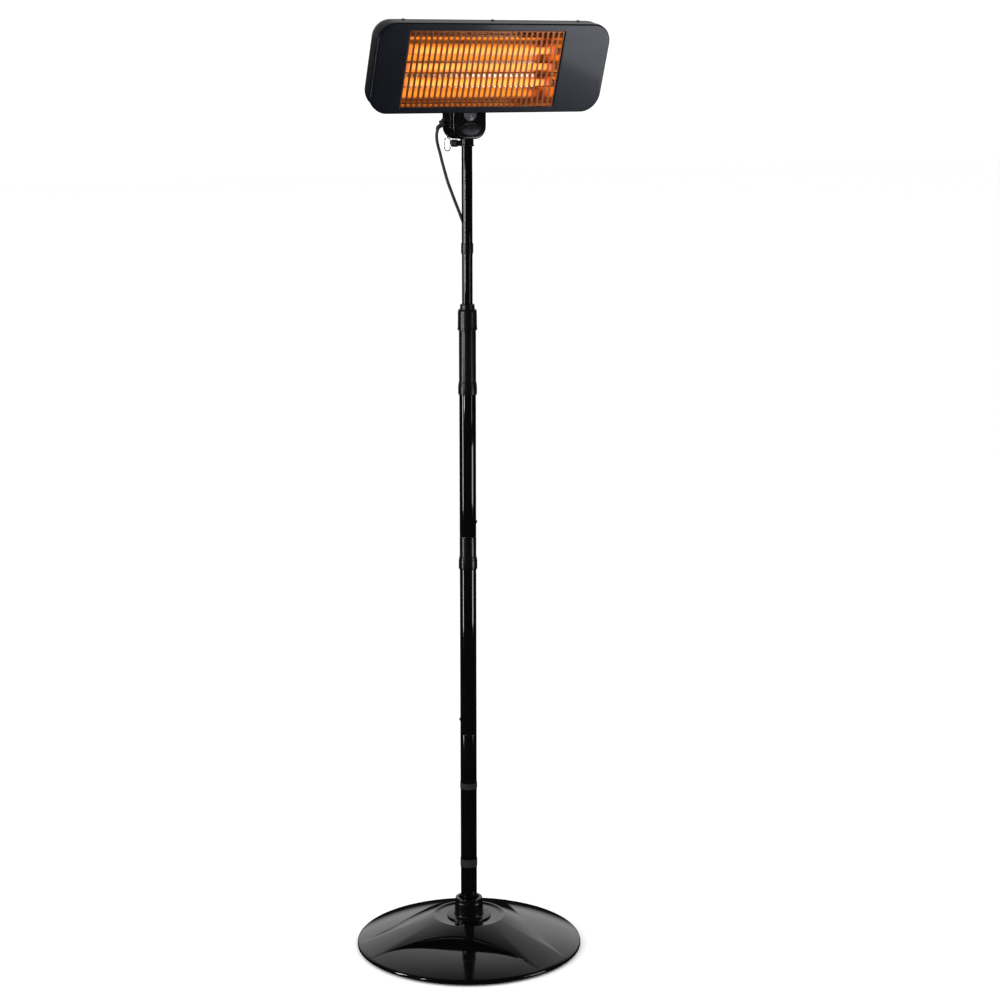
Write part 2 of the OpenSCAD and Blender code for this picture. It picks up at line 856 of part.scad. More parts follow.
module neck_sleeve() {
    color([0.04, 0.04, 0.045])
        difference() {
            union() {
                translate([0, 0, neck_z])
                    cylinder(r = neck_r + 1.2, h = 3);
                translate([0, 0, neck_z])
                    cylinder(r = neck_r, h = knuckle_z - neck_z);
                translate([0, 0, neck_z])
                    cylinder(r = neck_slim_r, h = inner_top - neck_z + 4);
                translate([0, 0, knob_z])
                    rotate([0, 0, knob_turn])
                        rotate([0, 90, 0])
                            cylinder(r = 5.5, h = neck_r + 4.5);
            }
            translate([0, 0, neck_z - 1])
                cylinder(r = inner_r + fit, h = inner_top - neck_z + 2);
            translate([0, 0, knob_z])
                rotate([0, 0, knob_turn])
                    rotate([0, 90, 0])
                        cylinder(r = 2.8, h = neck_r + 6);
        }
}

module clamp_knob() {
    color([0.02, 0.02, 0.02])
        translate([0, 0, knob_z])
            rotate([0, 0, knob_turn])
                rotate([0, 90, 0])
                    difference() {
                        union() {
                            translate([0, 0, inner_r + gap])
                                cylinder(r = 2.5, h = 12);
                            translate([0, 0, neck_r + 5])
                                cylinder(r = knob_r, h = knob_end - neck_r - 5);
                        }
                        for (k = [0 : 7])
                            rotate([0, 0, 45 * k])
                                translate([knob_r + 1, 0, neck_r + 7])
                                    cylinder(r = 1.8, h = 16, $fn = 24);
                    }
}

module cable_gland() {
    color([0.03, 0.03, 0.03])
        gland_axis()
            rotate_extrude($fn = 64)
                polygon([[0, -2.6], [gland_r, -2.6], [gland_r, 5], [nut_r, 6],
                    [nut_r, 8.6], [gland_r + 0.4, 9.4], [gland_r, 13],
                    [gland_r - 0.6, 13.4], [gland_r - 0.5, 17], [gland_r - 1.1, 17.4],
                    [gland_r - 1.1, 21], [cord_r + 0.5, gland_len], [0, gland_len]]);
}

module pull_switch() {
    color([0.85, 0.84, 0.8])
        difference() {
            translate([loop_x - 3.2, loop_y - 7, switch_foot])
                cube([10, 12, switch_h]);
            translate([loop_x, loop_y, stop_z - loop_travel - 1])
                cylinder(r = 2.1, h = loop_travel + 3, $fn = 48);
            translate([loop_x, loop_y, switch_foot - 1])
                cylinder(r = 1.3, h = 5, $fn = 48);
        }
}

// A long narrow eye on a short stem, with a stop inside the switch.
module pull_loop() {
    low = loop_top - 2 * loop_half - loop_run;
    color([0.75, 0.75, 0.75])
        translate([loop_x, loop_y, 0])
            rotate([0, 0, -28])
                union() {
                    translate([0, 0, loop_top - loop_wire])
                        cylinder(r = loop_wire, h = stop_z + 1 - loop_top, $fn = 32);
                    translate([0, 0, stop_z])
                        cylinder(r = 1.8, h = 1.6, $fn = 32);
                    translate([0, loop_wire, low])
                        rotate([90, 0, 0])
                            linear_extrude(height = 2 * loop_wire)
                                difference() {
                                    eye_outline(loop_half + loop_wire);
                                    eye_outline(loop_half - loop_wire);
                                }
                }
}

// Two half circles joined by straight sides, standing on its lowest centre line.
module eye_outline(r) {
    union() {
        translate([0, loop_half])
            circle(r = r, $fn = 48);
        translate([0, loop_half + loop_run])
            circle(r = r, $fn = 48);
        translate([-r, loop_half])
            square([2 * r, loop_run]);
    }
}

module knuckle_screws() {
    color([0.6, 0.6, 0.62])
        for (s = [-1, 1])
            translate([s * screw_half, knuckle_back_y, screw_z])
                union() {
                    y_rod(3.2, 1.6);
                    translate([0, -16, 0])
                        y_rod(1.6, 16.5);
                }
}

module pivot_bolt() {
    color([0.6, 0.6, 0.62])
        translate([0, pivot_y, pivot_z])
            union() {
                x_rod(pivot_d / 2, 2 * ear_out + 14);
                translate([-ear_out - 2.7, 0, 0])
                    x_rod(7.2, 5, 6);
            }
}

module pivot_nut() {
    color([0.6, 0.6, 0.62])
        translate([ear_out + 3.2, pivot_y, pivot_z])
            difference() {
                x_rod(7.2, 6, 6);
                x_rod(pivot_d / 2 + 0.05, 10);
            }
}

// ---- head ----

module at_head() {
    translate([0, pivot_y, pivot_z])
        rotate([head_tilt, 0, 0])
            translate([head_shift, -pivot_back - head_depth, head_h / 2 - pivot_low])
                children();
}

// Rounded rectangle in X and Z, centred.
module head_outline(inset) {
    w = head_w / 2 - inset;
    h = head_h / 2 - inset;
    r = max(head_r - inset, 4);
    union() {
        square([2 * w, 2 * (h - r)], center = true);
        square([2 * (w - r), 2 * h], center = true);
        for (x = [-1, 1])
            for (z = [-1, 1])
                translate([x * (w - r), z * (h - r)])
                    circle(r = r);
    }
}

// A plate of the outline between two depths.
module head_plate(inset, y0, y1) {
    translate([0, y1, 0])
        rotate([90, 0, 0])
            linear_extrude(height = y1 - y0)
                head_outline(inset);
}

module window_cut(grow, y0, y1) {
    translate([window_x - window_w / 2 - grow, y0, window_z - window_h / 2 - grow])
        cube([window_w + 2 * grow, y1 - y0, window_h + 2 * grow]);
}

module front_panel() {
    color([0.2, 0.21, 0.23])
        at_head()
            difference() {
                head_plate(0, 0, 9);
                head_plate(sheet_t, sheet_t, 10);
                window_cut(0, -1, sheet_t + 1);
            }
}

// Closed outer form of the rear shell, grown inwards by an inset.
module shell_form(inset, front) {
    lip = sheet_t + 0.4 + inset;
    union() {
        hull() {
            head_plate(lip, front, front + 1, $fn = 32);
            head_plate(wall_draft + inset, wall_depth - 1, wall_depth, $fn = 32);
        }
        hull() {
            head_plate(wall_draft + inset, wall_depth - 1, wall_depth, $fn = 32);
            head_plate(back_inset + inset, head_depth - 1 - inset, head_depth - inset,
                $fn = 32);
        }
    }
}

module rear_shell() {
    color([0.05, 0.05, 0.055])
        at_head()
            difference() {
                shell_form(0, 2);
                shell_form(sheet_t, 1);
                for (k = [-6 : 6])
                    translate([window_x + vent_pitch * k - 1.5, head_depth - 4, 8])
                        cube([3, 8, 34]);
                for (s = [-1, 1])
                    for (z = [bracket_low + 8, bracket_high - 7])
                        translate([s * 22 - head_shift, head_depth - 5, z])
                            y_rod(2.2, 8);
                for (x = screw_x)
                    translate([x, screw_depth, -head_h / 2])
                        cylinder(r = 1.9, h = head_h, $fn = 32);
            }
}

// Trough section in Y and Z: a bent sheet, open at the front.
function trough_points(grow) = let (h = mouth_h / 2)
    [[sheet_t + 0.6, h + grow], [22, h - 6 + grow], [40 + grow / 2, h - 26 + grow / 2],
        [trough_depth + grow, h - 50], [trough_depth + grow, 50 - h],
        [40 + grow / 2, 26 - h - grow / 2], [22, 6 - h - grow], [sheet_t + 0.6, -h - grow]];

module reflector() {
    color([0.85, 0.8, 0.7])
        at_head()
            translate([window_x - mouth_w / 2, 0, window_z])
                rotate([90, 0, 90])
                    linear_extrude(height = mouth_w)
                        difference() {
                            polygon(trough_points(trough_t));
                            polygon(concat([[-1, mouth_h / 2]], trough_points(0),
                                [[-1, -mouth_h / 2]]));
                        }
}

module reflector_ends() {
    color([0.8, 0.75, 0.65])
        at_head()
            for (s = [-1, 1])
                translate([window_x + s * (mouth_w / 2 + trough_t / 2) - trough_t / 2,
                    0, window_z])
                    rotate([90, 0, 90])
                        difference() {
                            linear_extrude(height = trough_t)
                                polygon(trough_points(trough_t));
                            for (z = quartz_zs)
                                translate([quartz_y, z - window_z, -1])
                                    cylinder(r = quartz_d / 2 + 0.5, h = 4);
                        }
}

// Outline of one upright slot with round ends.
function slot_points(r, half) = concat(
    [for (a = [0 : 22.5 : 180]) [r * cos(a), half + r * sin(a)]],
    [for (a = [180 : 22.5 : 360]) [r * cos(a), r * sin(a) - half]]);

module grille() {
    pitch = window_w / slot_count;
    slot_r = (pitch - bar_w) / 2;
    slot_half = window_h / 2 - slot_r - 1.5;
    color([0.55, 0.45, 0.4])
        at_head()
            translate([window_x, sheet_t + 1.4, window_z])
                rotate([90, 0, 0])
                    linear_extrude(height = 1.2)
                        difference() {
                            square([window_w + 3, window_h + 0.2], center = true);
                            for (k = [0 : slot_count - 1])
                                translate([(k + 0.5) * pitch - window_w / 2, 0])
                                    polygon(slot_points(slot_r, slot_half));
                        }
}

module grille_rods() {
    color([0.55, 0.45, 0.4])
        at_head()
            for (z = [-8, 8 - window_h / 2, window_h / 2 - 8])
                translate([window_x, sheet_t + 3.1, window_z + z])
                    x_rod(1.5, window_w + 2, 32);
}

module quartz_tube(i) {
    color([1, 0.6, 0.25, 0.6])
        at_head()
            translate([window_x, quartz_y, quartz_zs[i]])
                difference() {
                    x_rod(quartz_d / 2, 2 * quartz_half);
                    x_rod(quartz_d / 2 - 1.3, 2 * quartz_half + 2);
                }
}

module heating_coil(i) {
    color([1, 0.75, 0.2])
        at_head()
            translate([window_x, quartz_y, quartz_zs[i]])
                union() {
                    x_rod(coil_r, 2 * coil_half);
                    x_rod(1, 2 * quartz_half - 1, 24);
                }
}

module quartz_tube_1() {
    quartz_tube(0);
}

module quartz_tube_2() {
    quartz_tube(1);
}

module quartz_tube_3() {
    quartz_tube(2);
}

module heating_coil_1() {
    heating_coil(0);
}

module heating_coil_2() {
    heating_coil(1);
}

module heating_coil_3() {
    heating_coil(2);
}

// Six ceramic caps, one on each end of each tube.
module ceramic_caps() {
    color([0.92, 0.9, 0.86])
        at_head()
            for (z = quartz_zs)
                for (s = [-1, 1])
                    translate([window_x + s * (quartz_half + cap_len / 2 - 6), quartz_y, z])
                        difference() {
                            x_rod(9, cap_len);
                            translate([-s * (cap_len / 2 - 3), 0, 0])
                                x_rod(quartz_d / 2 + 0.1, 6.2);
                        }
}

// Two pressed brackets that hold the caps.
module tube_holders() {
    color([0.7, 0.7, 0.72])
        at_head()
            for (s = [-1, 1])
                translate([window_x + s * (quartz_half + 10), 0, 0])
                    difference() {
                        translate([-0.6, 6, -quartz_pitch - 18.5])
                            cube([1.2, 40, 2 * quartz_pitch + 31]);
                        for (z = quartz_zs)
                            translate([0, quartz_y, z])
                                x_rod(9.1, 4);
                    }
}

module terminal_block() {
    color([0.9, 0.88, 0.83])
        at_head()
            translate([window_x + quartz_half + 22, 28, -24])
                cube([20, 14, 44]);
}

module thermal_cutout() {
    color([0.75, 0.75, 0.77])
        at_head()
            translate([window_x + 80, trough_depth + trough_t + 0.2, -2])
                union() {
                    y_rod(8, 5);
                    y_rod(12, 1.2);
                }
}

module tip_switch() {
    color([0.1, 0.1, 0.12])
        at_head()
            translate([window_x + quartz_half + 24, 14, 26])
                cube([16, 20, 16]);
}

// Plate on the back of the shell with a lug that reaches to the tilt bolt.
module head_bracket() {
    back = head_depth + 0.1;
    color([0.06, 0.06, 0.065])
        difference() {
            union() {
                at_head()
                    difference() {
                        translate([-bracket_half - head_shift, back, bracket_low])
                            cube([2 * bracket_half, bracket_t, bracket_high - bracket_low]);
                        for (s = [-1, 1])
                            for (z = [bracket_low + 8, bracket_high - 7])
                                translate([s * 22 - head_shift, head_depth - 1, z])
                                    y_rod(2.2, 8);
                    }
                translate([0, pivot_y, pivot_z])
                    x_rod(lug_r, 2 * (ear_in - 0.5));
                translate([-ear_in + 0.5 + 5, pivot_y, pivot_z])
                    rotate([head_tilt, 0, 0])
                        rotate([90, 0, 90])
                            linear_extrude(height = 2 * (ear_in - 0.5) - 10)
                                polygon([[-lug_r * 0.75, -lug_r * 0.66],
                                    [lug_reach, 26], [lug_reach, 50],
                                    [lug_r * 0.75, lug_r * 0.66]]);
            }
            translate([0, pivot_y, pivot_z])
                x_rod(pivot_d / 2 + fit, 60);
        }
}
module head_screws() {
    color([0.7, 0.7, 0.72])
        at_head()
            union() {
                for (x = screw_x)
                    for (turn = [0, 180])
                        translate([x, screw_depth, 0])
                            rotate([turn, 0, 0])
                                translate([0, 0, head_h / 2 - wall_draft + 0.65])
                                    union() {
                                        cylinder(r = 3, h = 1.6, $fn = 32);
                                        translate([0, 0, -8])
                                            cylinder(r = 1.6, h = 8.5, $fn = 32);
                                    }
                for (s = [-1, 1])
                    for (z = [bracket_low + 8, bracket_high - 7])
                        translate([s * 22 - head_shift, head_depth - 4, z])
                            union() {
                                y_rod(2, 8);
                                translate([0, 7.1, 0])
                                    y_rod(4, 2.2);
                            }
            }
}

base_tray();
base_weight();
base_cover();
rubber_feet();
hub_spacer();
mast_socket();
centre_bolt();
centre_nut();
lower_tube();
lower_joiner();
middle_tube();
lower_collar();
upper_joiner();
upper_tube();
lock_body();
collet();
cord_hank();
cord_tail();
plug();
hank_straps();
snap_button_lower();
snap_button_upper();
lock_collar();
inner_tube();
glide_bush();
cord_clip();
cord_lower();
neck_sleeve();
knuckle_back();
knuckle_front();
oval_cap();
pilot_lens();
pull_switch();
cable_gland();
cord_upper();
knuckle_screws();
pivot_bolt();
pivot_nut();
clamp_knob();
pull_loop();
front_panel();
rear_shell();
reflector();
reflector_ends();
grille();
grille_rods();
quartz_tube_1();
quartz_tube_2();
quartz_tube_3();
heating_coil_1();
heating_coil_2();
heating_coil_3();
ceramic_caps();
tube_holders();
terminal_block();
thermal_cutout();
tip_switch();
head_bracket();
head_screws();
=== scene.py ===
import math

import bmesh
import bpy
import numpy as np
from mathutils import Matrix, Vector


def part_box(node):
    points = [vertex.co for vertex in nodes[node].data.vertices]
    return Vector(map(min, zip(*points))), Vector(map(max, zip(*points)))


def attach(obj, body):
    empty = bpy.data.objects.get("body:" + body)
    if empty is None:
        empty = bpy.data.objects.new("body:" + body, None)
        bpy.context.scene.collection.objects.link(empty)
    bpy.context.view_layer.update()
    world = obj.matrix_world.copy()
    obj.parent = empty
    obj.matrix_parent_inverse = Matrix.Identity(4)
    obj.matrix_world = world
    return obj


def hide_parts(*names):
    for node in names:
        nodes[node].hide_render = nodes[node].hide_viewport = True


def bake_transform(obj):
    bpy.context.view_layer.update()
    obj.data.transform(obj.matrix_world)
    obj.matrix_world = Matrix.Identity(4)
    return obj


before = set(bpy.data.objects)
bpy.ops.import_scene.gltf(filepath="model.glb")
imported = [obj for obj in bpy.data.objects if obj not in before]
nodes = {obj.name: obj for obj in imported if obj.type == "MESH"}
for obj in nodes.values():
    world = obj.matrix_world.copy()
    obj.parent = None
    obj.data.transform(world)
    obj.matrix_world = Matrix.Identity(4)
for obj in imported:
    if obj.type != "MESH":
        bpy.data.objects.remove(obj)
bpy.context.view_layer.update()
mm = 0.001
print("frame loaded:", len(nodes), "nodes")


# Surfaces: every shape is an array of rows and columns of points in millimetres.

def lowHigh(node):
    # lowest and highest corner of a frame node, in millimetres
    low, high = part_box(node)
    return np.array(low) / mm, np.array(high) / mm


def easeCorners(points, radius, steps=5, closed=False):
    # a corner becomes the quadratic curve between the points one radius away on its two sides
    points = np.asarray(points, float)
    before = np.roll(points, 1, -2) - points
    after = np.roll(points, -1, -2) - points
    lengthBefore = np.linalg.norm(before, axis=-1, keepdims=True) + 1e-9
    lengthAfter = np.linalg.norm(after, axis=-1, keepdims=True) + 1e-9
    wanted = np.broadcast_to(radius, points.shape[-2]).reshape(-1, 1)
    reach = np.minimum(wanted, 0.48 * np.minimum(lengthBefore, lengthAfter))
    start = (points + before / lengthBefore * reach)[..., None, :]
    stop = (points + after / lengthAfter * reach)[..., None, :]
    corner = points[..., None, :]
    s = np.linspace(0, 1, steps)[:, None]
    curve = (1 - s) ** 2 * start + 2 * s * (1 - s) * corner + s ** 2 * stop
    if not closed:
        curve = curve[..., 1:-1, :, :]
    curve = curve.reshape(*curve.shape[:-3], -1, curve.shape[-1])
    if closed:
        return curve
    return np.concatenate([points[..., :1, :], curve, points[..., -1:, :]], -2)


def turned(profile, columns=96):
    # a profile of radius and height carried once round the Z axis
    angle = np.linspace(0, 2 * math.pi, columns, endpoint=False)[:, None]
    radius, height = np.asarray(profile, float).T
    return np.stack([np.cos(angle) * radius, np.sin(angle) * radius, 0 * angle + height], -1)


def roundedRect(halfWidth, halfHeight, radius, steps=10):
    # four quarter circles in order, counted anticlockwise from the right side
    quarter = np.linspace(0, math.pi / 2, steps)
    angle = np.concatenate([quarter + k * math.pi / 2 for k in range(4)])
    signX = np.repeat([1, -1, -1, 1], steps)
    signY = np.repeat([1, 1, -1, -1], steps)
    return np.column_stack([signX * (halfWidth - radius) + radius * np.cos(angle),
                            signY * (halfHeight - radius) + radius * np.sin(angle)])


def stacked(outlineAt, levels):
    # outlines of a given inset laid one above another; levels holds pairs of inset and height
    rows = []
    for inset, height in levels:
        flat = outlineAt(inset)
        rows.append(np.column_stack([flat, np.full(len(flat), height)]))
    return np.array(rows)


def closedEnds(grid):
    # a row shrunk to its middle is added at both ends
    first = np.broadcast_to(grid[0].mean(0), grid[0].shape)
    last = np.broadcast_to(grid[-1].mean(0), grid[-1].shape)
    return np.concatenate([first[None], grid, last[None]])


def smoothPath(points, step):
    # a Catmull-Rom curve through the points, then stepped evenly along its length
    points = np.asarray(points, float)
    ends = np.vstack([2 * points[0] - points[1], points, 2 * points[-1] - points[-2]])
    a, b, c, d = (ends[k:len(ends) - 3 + k, None] for k in range(4))
    t = np.linspace(0, 1, 24, endpoint=False)[None, :, None]
    fine = (2 * b + (c - a) * t + (2 * a - 5 * b + 4 * c - d) * t ** 2
            + (3 * b - a - 3 * c + d) * t ** 3) / 2
    fine = np.vstack([fine.reshape(-1, 3), points[-1:]])
    along = np.concatenate([[0], np.cumsum(np.linalg.norm(np.diff(fine, axis=0), axis=1))])
    even = np.linspace(0, along[-1], int(along[-1] / step) + 2)
    return np.column_stack([np.interp(even, along, fine[:, k]) for k in range(3)])


def pathLength(path):
    return float(np.linalg.norm(np.diff(path, axis=0), axis=1).sum())


def circle(radius, sides=16):
    angle = np.linspace(0, 2 * math.pi, sides, endpoint=False)
    return np.column_stack([np.cos(angle), np.sin(angle)]) * radius


def swept(path, section, across, width=None, closed=False):
    # a flat section carried along a path, kept square to it; across is never parallel to the path
    path = np.asarray(path, float)
    if closed:
        along = np.roll(path, -1, 0) - np.roll(path, 1, 0)
    else:
        along = np.gradient(path, axis=0)
    along /= np.linalg.norm(along, axis=1, keepdims=True)
    side = np.cross(along, across)
    side /= np.linalg.norm(side, axis=1, keepdims=True)
    up = np.cross(side, along)
    scale = np.ones(len(path)) if width is None else np.asarray(width, float)
    grid = path[:, None] + scale[:, None, None] * (
        section[None, :, :1] * side[:, None] + section[None, :, 1:] * up[:, None])
    return grid if closed else closedEnds(grid)


def aimed(grid, centre, axis):
    # a shape made about Z is laid along axis and moved to centre
    axis = np.asarray(axis, float) / np.linalg.norm(axis)
    helper = np.array([0, 1.0, 0]) if abs(axis[2]) > 0.9 else np.array([0, 0, 1.0])
    x = np.cross(helper, axis)
    x /= np.linalg.norm(x)
    y = np.cross(axis, x)
    return grid[..., :1] * x + grid[..., 1:2] * y + grid[..., 2:] * axis + np.asarray(centre, float)


def sideways(grid):
    # height becomes depth: the shape's Z is laid along +Y and its Y along +Z
    return grid[..., [0, 2, 1]]


def spun(grid, degrees):
    # turned about the vertical axis
    a = math.radians(degrees)
    x, y = grid[..., 0], grid[..., 1]
    return np.stack([x * math.cos(a) - y * math.sin(a), x * math.sin(a) + y * math.cos(a), grid[..., 2]], -1)


def quadsOf(rows, columns, loopRows, loopColumns, start):
    # the corners of every quad of a grid, and where each lies along and across it
    i, j = np.meshgrid(np.arange(rows - (not loopRows)), np.arange(columns - (not loopColumns)),
                       indexing="ij")
    corners = [(i, j), (i + 1, j), (i + 1, j + 1), (i, j + 1)]
    quads = np.stack([start + (a % rows) * columns + b % columns for a, b in corners], -1)
    place = np.stack([np.stack([a / rows, b / columns], -1) for a, b in corners], -2)
    return quads.reshape(-1, 4), place.reshape(-1, 2)


def addPiece(name, grids, body, finish, stands=(), loopRows=False, loopColumns=True, angle=32):
    # one mesh of one or more grids, merged where they close, that rides on a body of the frame
    if isinstance(grids, np.ndarray) and grids.ndim == 3:
        grids = [grids]
    faces, places, start = [], [], 0
    for grid in grids:
        quads, place = quadsOf(grid.shape[0], grid.shape[1], loopRows, loopColumns, start)
        faces.append(quads)
        places.append(place)
        start += grid.shape[0] * grid.shape[1]
    points = np.concatenate([grid.reshape(-1, 3) for grid in grids]) * mm
    mesh = bpy.data.meshes.new(name)
    mesh.from_pydata(points.tolist(), [], np.concatenate(faces).tolist())
    layer = mesh.uv_layers.new(name="along")
    layer.data.foreach_set("uv", np.concatenate(places).astype(np.float32).ravel())
    work = bmesh.new()
    work.from_mesh(mesh)
    bmesh.ops.remove_doubles(work, verts=work.verts, dist=2e-6)
    bmesh.ops.recalc_face_normals(work, faces=work.faces)
    work.to_mesh(mesh)
    work.free()
    mesh.shade_smooth()
    mesh.set_sharp_from_angle(angle=math.radians(angle))
    piece = bpy.data.objects.new(name, mesh)
    bpy.context.scene.collection.objects.link(piece)
    mesh.materials.append(finishes[finish])
    if body:
        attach(piece, body)
    if stands:
        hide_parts(*stands)
    return piece


# Shader maths: a wire is one socket of a material, and arithmetic on wires adds Math nodes.

class Wire:
    def __init__(self, tree, socket=None):
        self.tree = tree
        self.socket = socket

    def put(self, kind, settings=None, inputs=None, output=0):
        node = self.tree.nodes.new("ShaderNode" + kind)
        for key, value in (settings or {}).items():
            if key == "stops":
                ramp = node.color_ramp.elements
                while len(ramp) < len(value):
                    ramp.new(0.5)
                for element, (place, colour) in zip(ramp, value):
                    element.position = place
                    element.color = (*colour, 1)
            else:
                setattr(node, key, value)
        for key, value in (inputs or {}).items():
            if isinstance(value, Wire):
                self.tree.links.new(value.socket, node.inputs[key])
            else:
                node.inputs[key].default_value = value
        return Wire(self.tree, node.outputs[output] if node.outputs else None)

    def maths(self, operation, first, second=0.0):
        return self.put("Math", {"operation": operation}, {0: first, 1: second})

    def __add__(self, other): return self.maths("ADD", self, other)
    def __radd__(self, other): return self.maths("ADD", other, self)
    def __sub__(self, other): return self.maths("SUBTRACT", self, other)
    def __rsub__(self, other): return self.maths("SUBTRACT", other, self)
    def __mul__(self, other): return self.maths("MULTIPLY", self, other)
    def __rmul__(self, other): return self.maths("MULTIPLY", other, self)
    def __truediv__(self, other): return self.maths("DIVIDE", self, other)
    def __pow__(self, other): return self.maths("POWER", self, other)
    def clamped(self): return self.put("Clamp", {}, {"Value": self})


def newFinish(name):
    material = bpy.data.materials.new(name)
    material.use_nodes = True
    material.node_tree.nodes.clear()
    return material, Wire(material.node_tree)


def objectPoint(tree, scale=(1, 1, 1)):
    place = tree.put("TexCoord", {}, {}, "Object")
    return tree.put("Mapping", {}, {"Vector": place, "Scale": scale})


def noise(tree, point, scale, detail=3.0, roughness=0.55):
    return tree.put("TexNoise", {}, {"Vector": point, "Scale": scale, "Detail": detail,
                                     "Roughness": roughness}, "Fac")


def mixColour(tree, factor, low, high):
    return tree.put("Mix", {"data_type": "RGBA"}, {"Factor": factor, 6: low, 7: high}, 2)


def finishWith(tree, shader):
    tree.put("OutputMaterial", {}, {"Surface": shader})


def opaque(colour):
    return (*colour, 1)


def paintFinish(name, look):
    # a sprayed or moulded surface: cloudy colour, uneven gloss, fine texture and faint rubbing marks
    material, tree = newFinish(name)
    place = objectPoint(tree)
    clouds = noise(tree, place, 9.0, 4.0)
    smears = noise(tree, objectPoint(tree, look.get("smearStretch", (60, 60, 7))), 1.0, 5.0, 0.62)
    grain = noise(tree, place, look["grainScale"], 2.0)
    dust = (noise(tree, place, 420.0, 1.0, 0.4) - 0.66).clamped() * look.get("dust", 0.35)
    colour = mixColour(tree, (clouds * 0.8 + dust).clamped(), opaque(look["dark"]), opaque(look["light"]))
    rough = look["roughness"] + (clouds - 0.5) * look["glossDrift"] + (smears - 0.5) * look["smear"] + dust
    bump = tree.put("Bump", {}, {"Height": grain, "Strength": look["bump"],
                                 "Distance": look.get("depth", 0.0002)})
    shader = tree.put("BsdfPrincipled", {}, {
        "Base Color": colour, "Roughness": rough.clamped(), "Metallic": look.get("metallic", 0.0),
        "Coat Weight": look.get("coat", 0.0), "Coat Roughness": 0.06, "Normal": bump})
    finishWith(tree, shader)
    return material


def metalFinish(name, look):
    # bare metal: brushed lines along one axis, patchy tone and a rougher haze
    material, tree = newFinish(name)
    lines = noise(tree, objectPoint(tree, look["brush"]), 1.0, 4.0, 0.6)
    patches = noise(tree, objectPoint(tree), look.get("patchScale", 35.0), 3.0)
    tone = (lines * 0.45 + patches * 0.55).clamped()
    colour = mixColour(tree, tone, opaque(look["dark"]), opaque(look["light"]))
    rough = (look["roughness"] + (lines - 0.5) * look["lineRough"] + (patches - 0.5) * 0.12).clamped()
    bump = tree.put("Bump", {}, {"Height": lines, "Strength": look["bump"], "Distance": 0.0001})
    shader = tree.put("BsdfPrincipled", {}, {
        "Base Color": colour, "Roughness": rough, "Metallic": 1.0, "Normal": bump})
    finishWith(tree, shader)
    return material


def castFinish(name):
    # sand-cast iron: pits and lumps from two sizes of noise
    material, tree = newFinish(name)
    place = objectPoint(tree)
    lumps, pits = noise(tree, place, 160.0, 4.0, 0.7), noise(tree, place, 900.0, 2.0)
    height = lumps * 0.7 + pits * 0.3
    colour = mixColour(tree, lumps, (0.09, 0.09, 0.095, 1), (0.26, 0.25, 0.25, 1))
    bump = tree.put("Bump", {}, {"Height": height, "Strength": 0.6, "Distance": 0.0006})
    shader = tree.put("BsdfPrincipled", {}, {
        "Base Color": colour, "Roughness": (0.5 + pits * 0.35).clamped(), "Metallic": 0.7, "Normal": bump})
    finishWith(tree, shader)
    return material


def jacketFinish(name, look):
    # a cord's sheath: faint lines along it, from the piece's own map, and a waxy unevenness
    material, tree = newFinish(name)
    along = tree.put("UVMap", {"uv_map": "along"}, {})
    lines = noise(tree, tree.put("Mapping", {}, {"Vector": along, "Scale": (3.0, 26.0, 1.0)}), 1.0, 2.0)
    waxy = noise(tree, objectPoint(tree), 60.0, 3.0)
    colour = mixColour(tree, waxy, opaque(look["dark"]), opaque(look["light"]))
    bump = tree.put("Bump", {}, {"Height": lines, "Strength": 0.25, "Distance": 0.0001})
    shader = tree.put("BsdfPrincipled", {}, {
        "Base Color": colour, "Roughness": (look["roughness"] + waxy * 0.16).clamped(), "Normal": bump})
    finishWith(tree, shader)
    return material


def wovenFinish(name, look):
    # a strap's weave: two crossed waves on the piece's own map
    material, tree = newFinish(name)
    along = tree.put("UVMap", {"uv_map": "along"}, {})
    threads = tree.put("Mapping", {}, {"Vector": along, "Scale": look["weave"]})
    warp, weft = (tree.put("TexWave", {"bands_direction": way}, {"Vector": threads, "Scale": 1.0}, "Fac")
                  for way in "XY")
    height = warp * weft
    fuzz = noise(tree, objectPoint(tree), 700.0, 2.0)
    colour = mixColour(tree, (height * 0.7 + fuzz * 0.3).clamped(), opaque(look["dark"]),
                       opaque(look["light"]))
    bump = tree.put("Bump", {}, {"Height": height, "Strength": 0.6, "Distance": 0.0004})
    shader = tree.put("BsdfPrincipled", {}, {
        "Base Color": colour, "Roughness": (0.75 + fuzz * 0.2).clamped(), "Normal": bump})
    finishWith(tree, shader)
    return material


def hotFinish(name, look):
    # a glowing piece: bright in the middle of its length and dim at its ends
    material, tree = newFinish(name)
    place = tree.put("TexCoord", {}, {}, "Object")
    x = tree.put("SeparateXYZ", {}, {"Vector": place}, 0)
    off = tree.maths("ABSOLUTE", x - look["middle"])
    warmth = (look["reach"] - off) / look["fade"]
    warmth = warmth.clamped()
    ripple = noise(tree, objectPoint(tree), look["rippleScale"], 2.0)
    heat = (warmth * (0.78 + ripple * 0.3)).clamped()
    colour = tree.put("ValToRGB", {"stops": look["stops"]}, {"Fac": heat})
    shader = tree.put("BsdfPrincipled", {}, {
        "Base Color": opaque(look["cold"]), "Roughness": look["roughness"], "Emission Color": colour,
        "Emission Strength": look["strength"], "Alpha": look.get("alpha", 1.0)})
    finishWith(tree, shader)
    return material


